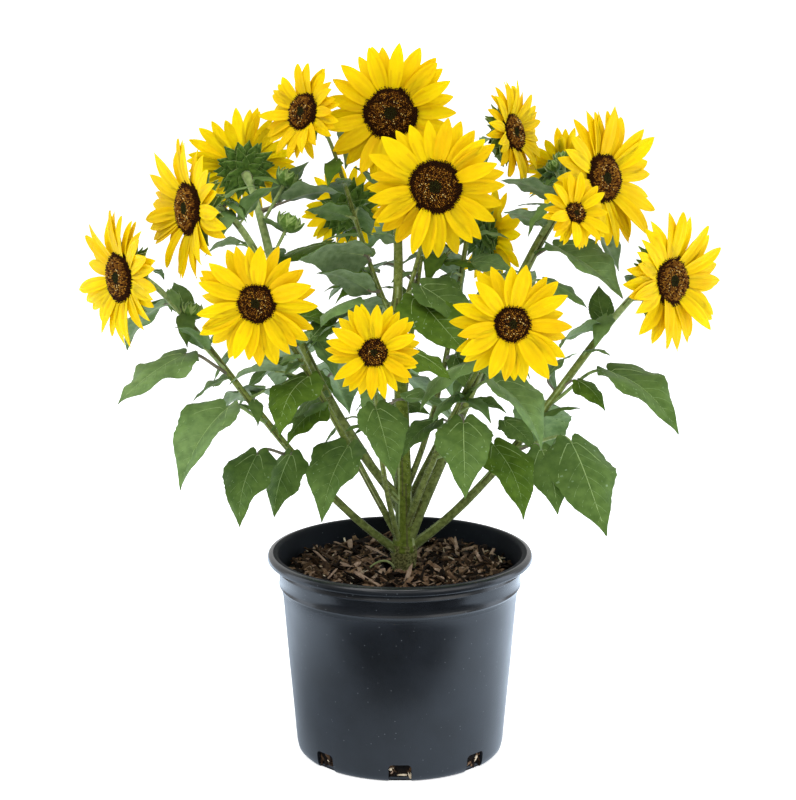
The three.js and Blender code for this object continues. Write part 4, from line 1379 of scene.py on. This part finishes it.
# %% [markdown]
# ## Pot
# The pot is one thin moulded shell. Its lip rolls outward, a collar and a shoulder stiffen it,
# and it narrows to a foot with eight notches for drainage. A profile turned round an axis gives
# the shell, with rounded corners where the mould has them. A boolean then cuts the notches. The
# outside, the smoother band from the collar to the lip, and the dull inside differ in material.

# %% Turned shell with notches
POT_PROFILE = [
    (0, 0.0), (60, 0.0), (95.0, 0.0), (98.3, 0.8), (100.3, 3.0), (101.1, 6.5), (101.6, 9.0),
    (105.0, 50.0), (108.7, 92.0), (113.2, 149.5), (113.6, 154.0), (114.2, 158.0), (115.0, 161.8),
    (115.8, 164.6), (116.2, 165.8), (117.2, 166.6), (117.7, 167.5), (117.4, 168.5), (116.6, 169.9),
    (117.2, 176.0), (117.8, 182.5), (119.0, 183.2), (119.6, 184.1), (119.3, 185.1), (118.4, 186.5),
    (118.6, 189.6), (119.6, 190.8), (126.2, 191.1), (127.8, 191.4), (128.5, 192.2), (128.6, 193.3),
    (128.4, 195.0), (127.9, 196.5), (127.0, 197.7), (125.4, 198.4), (123.2, 198.6), (120.8, 198.5),
    (119.2, 198.1), (118.5, 197.3), (118.1, 195.6), (117.4, 189.0), (112.4, 166.0), (110.3, 157.0),
    (98.6, 18.0), (97.9, 10.0), (96.4, 4.2), (94.4, 3.0), (0, 3.0),
]
COLLAR_START = (115.0, 161.8)
LIP_END = (123.2, 198.6)
POT_SIDES = 144
OUTSIDE, INSIDE, LIP = range(3)
NOTCHES = 8
NOTCH_HALF = 10.8
NOTCH_CORNER = 4
NOTCH_STRAIGHT = 14
NOTCH_FROM, NOTCH_TO = 95.4, 115


def circles(radii_and_heights, sides):
    """Rings of points round the pot's axis."""
    turn = full_turn(sides)
    rings = [(r * np.cos(turn), r * np.sin(turn), z + 0 * turn) for r, z in radii_and_heights]
    return np.concatenate([np.stack(ring, axis=1) for ring in rings])


def notch_angle(k):
    """Where a notch is round the pot, counted from the front."""
    return 2 * np.pi * k / NOTCHES - np.pi / 2


def outward(angle):
    """The level way out from the pot's axis."""
    return np.array([np.cos(angle), np.sin(angle), 0])


def notch_cutter(k):
    """A block with rounded top corners that passes through the foot of the wall."""
    outline = [(-NOTCH_HALF, -3), (NOTCH_HALF, -3), (NOTCH_HALF, NOTCH_STRAIGHT)]
    for side, angles in ((1, (22, 45, 68, 90)), (-1, (90, 68, 45, 22))):
        for a in np.radians(angles):
            x = NOTCH_HALF - NOTCH_CORNER + NOTCH_CORNER * np.cos(a)
            outline.append((side * x, NOTCH_STRAIGHT + NOTCH_CORNER * np.sin(a)))
    outline.append((-NOTCH_HALF, NOTCH_STRAIGHT))
    out = outward(notch_angle(k))
    side = np.array([-out[1], out[0], 0])
    ring = np.array([side * x + (0, 0, z) for x, z in outline])
    points = np.concatenate([ring + out * NOTCH_FROM, ring + out * NOTCH_TO])
    return points, joined_rings(2, len(outline))


pot_heap = Heap("pot_shell", "pot", [pot_plastic, pot_inside, pot_lip])
shell_rings = POT_PROFILE[1:-1]
shell_points = circles(shell_rings, POT_SIDES)
wall, underside, inner_floor = joined_rings(len(shell_rings), POT_SIDES)
step = np.arange(len(wall)) // POT_SIDES
tones = np.where(step >= shell_rings.index(COLLAR_START), LIP, OUTSIDE)
tones[step >= shell_rings.index(LIP_END)] = INSIDE
pot_heap.add(shell_points, [(wall, tones), underside, (inner_floor, INSIDE)])
pot_piece = pot_heap.make("pot")
blocks = Heap("notch_blocks", "pot", [])
for k in range(NOTCHES):
    blocks.add(*notch_cutter(k))
cutter = new_thing(blocks.name, (np.concatenate(blocks.points) / 1000).tolist(), blocks.faces)
cut = pot_piece.modifiers.new("notches", "BOOLEAN")
cut.operation = "DIFFERENCE"
cut.solver = "EXACT"
cut.object = cutter
bpy.context.view_layer.update()
shell = pot_piece.evaluated_get(bpy.context.evaluated_depsgraph_get())
pot_piece.data = bpy.data.meshes.new_from_object(shell)
pot_piece.modifiers.clear()
bpy.data.objects.remove(cutter)
pot_piece.data.set_sharp_from_angle(angle=math.radians(40))
print("pot_shell has", len(pot_piece.data.polygons), "faces after its notches are cut")

# %% [markdown]
# ## Bark
# The pot is filled with chipped pine bark. A dark bed fills the pot, and the chips that show lie
# on it: at the top round the stem, and at each notch. Each chip is a torn, uneven slab, longer
# than it is wide, and they lie at all angles, so they are laid by a seeded rule, a few deep.

# %% Bed and chips
bark_heap = Heap("bark", "bark", barks + [peat])
PEAT = len(barks)
PEAT_SIDES, PEAT_TOP_RINGS = 96, 26
# The bed's side, as radius and height, just inside the pot's wall, and the radius of its top
BED_LEVELS = [(93.8, 3.1), (95.9, 4.4), (97.2, 10.0), (109.8, 158.0), (111.5, 172.5)]
BED_TOP = 110.5
TOP_CHIPS = 2500
TOP_BARK_SHARES = [0.35, 0.28, 0.23, 0.11, 0.03]
CHIPS_REACH = 113.5
WALL_REACH = 114
STEM_REACH = 12
NOTCH_CHIPS = 22
NOTCH_BARK_SHARES = [0.4, 0.3, 0.15, 0.09, 0.06]
LONGEST_CHIP, WIDEST_CHIP, LONGEST_IN_NOTCH = 32, 7, 11


def bed_height(x, y):
    """The lumpy top of the bed, level round the stem."""
    away = np.clip((np.hypot(x, y) - 14) / 20, 0, 1)
    lump = 2.2 * np.sin(x / 9 + 1) * np.cos(y / 11) + 1.2 * np.sin((x + 2 * y) / 13)
    return SOIL - 1.5 + away * lump


def add_bed():
    """The dark bed, one closed shape."""
    levels = BED_LEVELS + [(radius, 0) for radius in np.linspace(BED_TOP, 1.5, PEAT_TOP_RINGS)]
    points = circles(levels, PEAT_SIDES)
    top = points[len(BED_LEVELS) * PEAT_SIDES:]
    top[:, 2] = bed_height(top[:, 0], top[:, 1])
    bark_heap.add(points, joined_rings(len(levels), PEAT_SIDES), PEAT)


def add_chip(middle, long_way, up_way, length, width, thick, slot):
    """One torn slab: a ragged outline, taken twice, with the upper one smaller, and a crest."""
    long_way = unit(long_way - up_way * up_way.dot(long_way))
    wide_way = np.cross(up_way, long_way)
    sides = 8
    turn = full_turn(sides) + 2 * np.pi * rng.uniform(-0.25, 0.25, sides) / sides
    ragged = rng.uniform(0.7, 1.15, sides)
    x = 0.5 * length * np.sign(np.cos(turn)) * abs(np.cos(turn)) ** 0.85 * ragged
    y = 0.5 * width * np.sign(np.sin(turn)) * abs(np.sin(turn)) ** 0.8 * ragged
    bend = 0.12 * length * (x / length) ** 2 * rng.uniform(-1, 1)
    low = laid_out(middle, (x, long_way), (y, wide_way), (bend - thick / 2, up_way))
    shrink = rng.uniform(0.7, 0.98, sides)
    rough = rng.uniform(0.6, 1.3, sides)
    raised = (bend + thick * rough / 2, up_way)
    high = laid_out(middle, (x * shrink, long_way), (y * shrink, wide_way), raised)
    crest = middle + up_way * thick * rng.uniform(0.4, 0.8)
    crest = crest + long_way * length * rng.uniform(-0.15, 0.15)
    wall, underside, rim = joined_rings(2, sides)
    faces = [wall, fan(rim[0], 2 * sides), underside]
    bark_heap.add(np.concatenate([low, high, [crest]]), faces, slot)


def chip_size():
    """Length, width and thickness: most chips are small, and a few are long."""
    length = min(np.exp(rng.normal(2.65, 0.42)), LONGEST_CHIP)
    return length, min(length * rng.uniform(0.18, 0.44), WIDEST_CHIP), rng.uniform(0.7, 2.0)


def lay_top_chips(count):
    """Chips that lie on the bed, clear of the wall and of the stem."""
    for _ in range(count):
        radius = CHIPS_REACH * np.sqrt(rng.random())
        angle = rng.uniform(0, 2 * np.pi)
        x, y = radius * np.cos(angle), radius * np.sin(angle)
        tilt = rng.normal(0, 0.5, 2)
        length, width, thick = chip_size()
        if not STEM_REACH + length / 2 <= radius <= WALL_REACH - length / 2:
            continue
        height = bed_height(x, y) + rng.uniform(0.2, 5.0) + abs(tilt[0]) * length * 0.2
        long_way = outward(rng.uniform(0, 2 * np.pi))
        slot = rng.choice(len(barks), p=TOP_BARK_SHARES)
        if slot == SPLINTER:
            length, width, thick = rng.uniform(8, 20), rng.uniform(0.8, 2.0), 0.9
        up_way = unit(np.array([*tilt, 1.0]))
        add_chip(np.array([x, y, height]), long_way, up_way, length, width, thick, slot)


def lay_notch_chips(k, count):
    """Chips that show through a notch, each as tall as the bark behind it allows."""
    for _ in range(count):
        out = outward(notch_angle(k) + rng.uniform(-0.11, 0.11))
        middle = out * rng.uniform(95.5, 97.5) + (0, 0, rng.uniform(5.0, 16))
        up_way = unit(out + rng.normal(0, 0.25, 3))
        long_way = unit(rng.normal(0, 1, 3))
        length, width, thick = chip_size()
        size = min(length, 0.2 + 1.7 * middle[2], LONGEST_IN_NOTCH)
        slot = rng.choice(len(barks), p=NOTCH_BARK_SHARES)
        add_chip(middle, long_way, up_way, size, min(width, 0.4 * size), min(thick, 1.2), slot)


add_bed()
lay_top_chips(TOP_CHIPS)
for k in range(NOTCHES):
    lay_notch_chips(k, NOTCH_CHIPS)
bark_heap.make("soil", smooth=False)

# %% [markdown]
# ## Floor, light and camera
# The plant stood on a white sweep in an even, soft light. A pale floor that runs on past the
# camera's view does that here, with a white backdrop behind it that only the camera sees. Six
# area lights give soft edges: one above, a main one from the upper left, a fill from the right,
# a wide screen in front, and a tall panel at each side. The pot's gloss is drawn by the panels
# and by a lit table top, which nothing but gloss sees.

# %% Floor and background
def level_square(left, front, right, back, height):
    """Corners and face of a flat rectangle, in metres."""
    corners = [(left, front), (right, front), (right, back), (left, back)]
    return [(x, y, height) for x, y in corners], [(0, 1, 2, 3)]


SWEEP = 200
WHITE = linear("#ffffff")
paper_look = {"Roughness": 0.9, "Base Color": linear("#f4f4f4")}
paper_look |= {"Emission Color": WHITE, "Emission Strength": 0.6}
floor_paper = new_material("floor_paper", paper_look)[0]
floor = new_thing("floor", *level_square(-SWEEP, -SWEEP, SWEEP, SWEEP, 0), [floor_paper])

# Gloss sees the lit table instead of the floor
floor.visible_glossy = False

# A white backdrop all round, which only the camera sees
BACKDROP_AWAY = 12
BACKDROP_SIDES = 32
backdrop_rings = [
    (BACKDROP_AWAY * np.cos(rise), BACKDROP_AWAY * np.sin(rise))
    for rise in np.linspace(-0.5, 1, 13)[:-1] * np.pi / 2
]
backdrop_wall, _, backdrop_top = joined_rings(len(backdrop_rings), BACKDROP_SIDES)
backdrop_faces = [*backdrop_wall[:, ::-1].tolist(), *backdrop_top.tolist()]
white_look = {"Roughness": 1.0, "Emission Color": WHITE, "Emission Strength": 1.2}
white = new_material("backdrop_white", white_look)[0]
backdrop_points = circles(backdrop_rings, BACKDROP_SIDES).tolist()
backdrop = new_thing("backdrop", backdrop_points, backdrop_faces, [white])

# The pot mirrors the lit table at its sides, and the dark room over the table's front edge. One
# flat shape stands for the lit part. It is brighter to the right, at the far left and behind.
LIT_FRONT, LIT_REACH, LIT_HEIGHT = -0.245, 1.6, 0.0015
lit_look = {"Roughness": 1.0, "Base Color": linear("#000000"), "Emission Color": linear("#dbebfd")}
lit_white, tree, shader, place = new_material("lit_table_white", lit_look)
table = add_node(tree, "ShaderNodeSeparateXYZ", {}, {"Vector": place}).outputs
right_glow = mapped(tree, table["X"], (-0.15, 0.42), (0.8, 2.35))
left_glow = mapped(tree, table["X"], (-0.25, -0.42), (0.0, 1.5))
back_glow = mapped(tree, table["Y"], (0.0, 0.2), (0.0, 0.6))
side_glow = combined(tree, "ADD", right_glow, left_glow)
tree.links.new(combined(tree, "ADD", side_glow, back_glow), shader.inputs["Emission Strength"])
lit_corners = level_square(-LIT_REACH, LIT_FRONT, LIT_REACH, LIT_REACH, LIT_HEIGHT)
lit_table = new_thing("lit_table", *lit_corners, [lit_white])
for stage_piece in (backdrop, lit_table):
    stage_piece.visible_diffuse = False
    stage_piece.visible_transmission = False
    stage_piece.visible_volume_scatter = False
    stage_piece.visible_shadow = False
backdrop.visible_glossy = False
lit_table.visible_camera = False
print("the lit table's front edge is at", LIT_FRONT, "m")

# %% The studio's own light
# It is white at the sides and behind, dim on the side where the camera stands, and dim below
world = bpy.data.worlds.new("studio")
world.use_nodes = True
sky = world.node_tree
way = add_node(sky, "ShaderNodeTexCoord", {}, {}).outputs["Generated"]
way = add_node(sky, "ShaderNodeSeparateXYZ", {}, {"Vector": way}).outputs
behind = mapped(sky, way["Y"], (-0.75, 0.3), (0.2, 1.0), interpolation_type="SMOOTHSTEP")
above = mapped(sky, way["Z"], (-0.3, 0.05), (0.1, 1.0), interpolation_type="SMOOTHSTEP")
background = sky.nodes["Background"]
background.inputs["Color"].default_value = WHITE
sky.links.new(combined(sky, "MULTIPLY", behind, above), background.inputs["Strength"])
bpy.context.scene.world = world
print("the studio is lit from the sides and from behind")

# %% Lights
def area_light(name, where, aim, width, height, watts, colour="#ffffff"):
    """A soft rectangular light that faces a point."""
    data = bpy.data.lights.new(name, "AREA")
    data.shape = "RECTANGLE"
    data.size, data.size_y = width, height
    data.energy = watts
    data.color = linear(colour)[:3]
    light = bpy.data.objects.new(name, data)
    light.location = where
    way = Vector(aim) - Vector(where)
    light.rotation_euler = way.to_track_quat("-Z", "Y").to_euler()
    bpy.context.scene.collection.objects.link(light)


area_light("top_softbox", (-0.2, -0.5, 2.4), (0, 0, 0.4), 1.6, 1.2, 23)
area_light("main_softbox", (-1.3, -1.5, 2.0), (0, 0, 0.4), 1.4, 1.4, 18)
area_light("fill_softbox", (1.6, -1.5, 1.3), (0, 0, 0.4), 1.6, 1.6, 15)
area_light("left_panel", (-1.7, 0.2, 0.5), (0, 0, 0.3), 0.8, 1.6, 8, "#dcebff")
area_light("right_panel", (1.7, 0.2, 0.5), (0, 0, 0.3), 0.8, 1.6, 12, "#dcebff")
area_light("front_screen", (0, -2.5, 1.45), (0, 0, 0.3), 3.0, 1.5, 11)

# %% Camera at the photograph's viewpoint
# Its height, distance and tilt were fitted to the ellipses of the pot's lip and foot
camera_data = bpy.data.cameras.new("camera")
camera_data.lens = 90.0
camera_data.sensor_width = 36.0
camera = bpy.data.objects.new("camera", camera_data)
camera.location = (-0.0019, -1.870, 0.746)
camera.rotation_euler = (math.radians(90 - 12.03), 0, 0)
bpy.context.scene.collection.objects.link(camera)
bpy.context.scene.camera = camera
bpy.context.scene.view_settings.view_transform = "Standard"
print("the camera stands", round(camera.location.length, 3), "m from the foot of the pot")
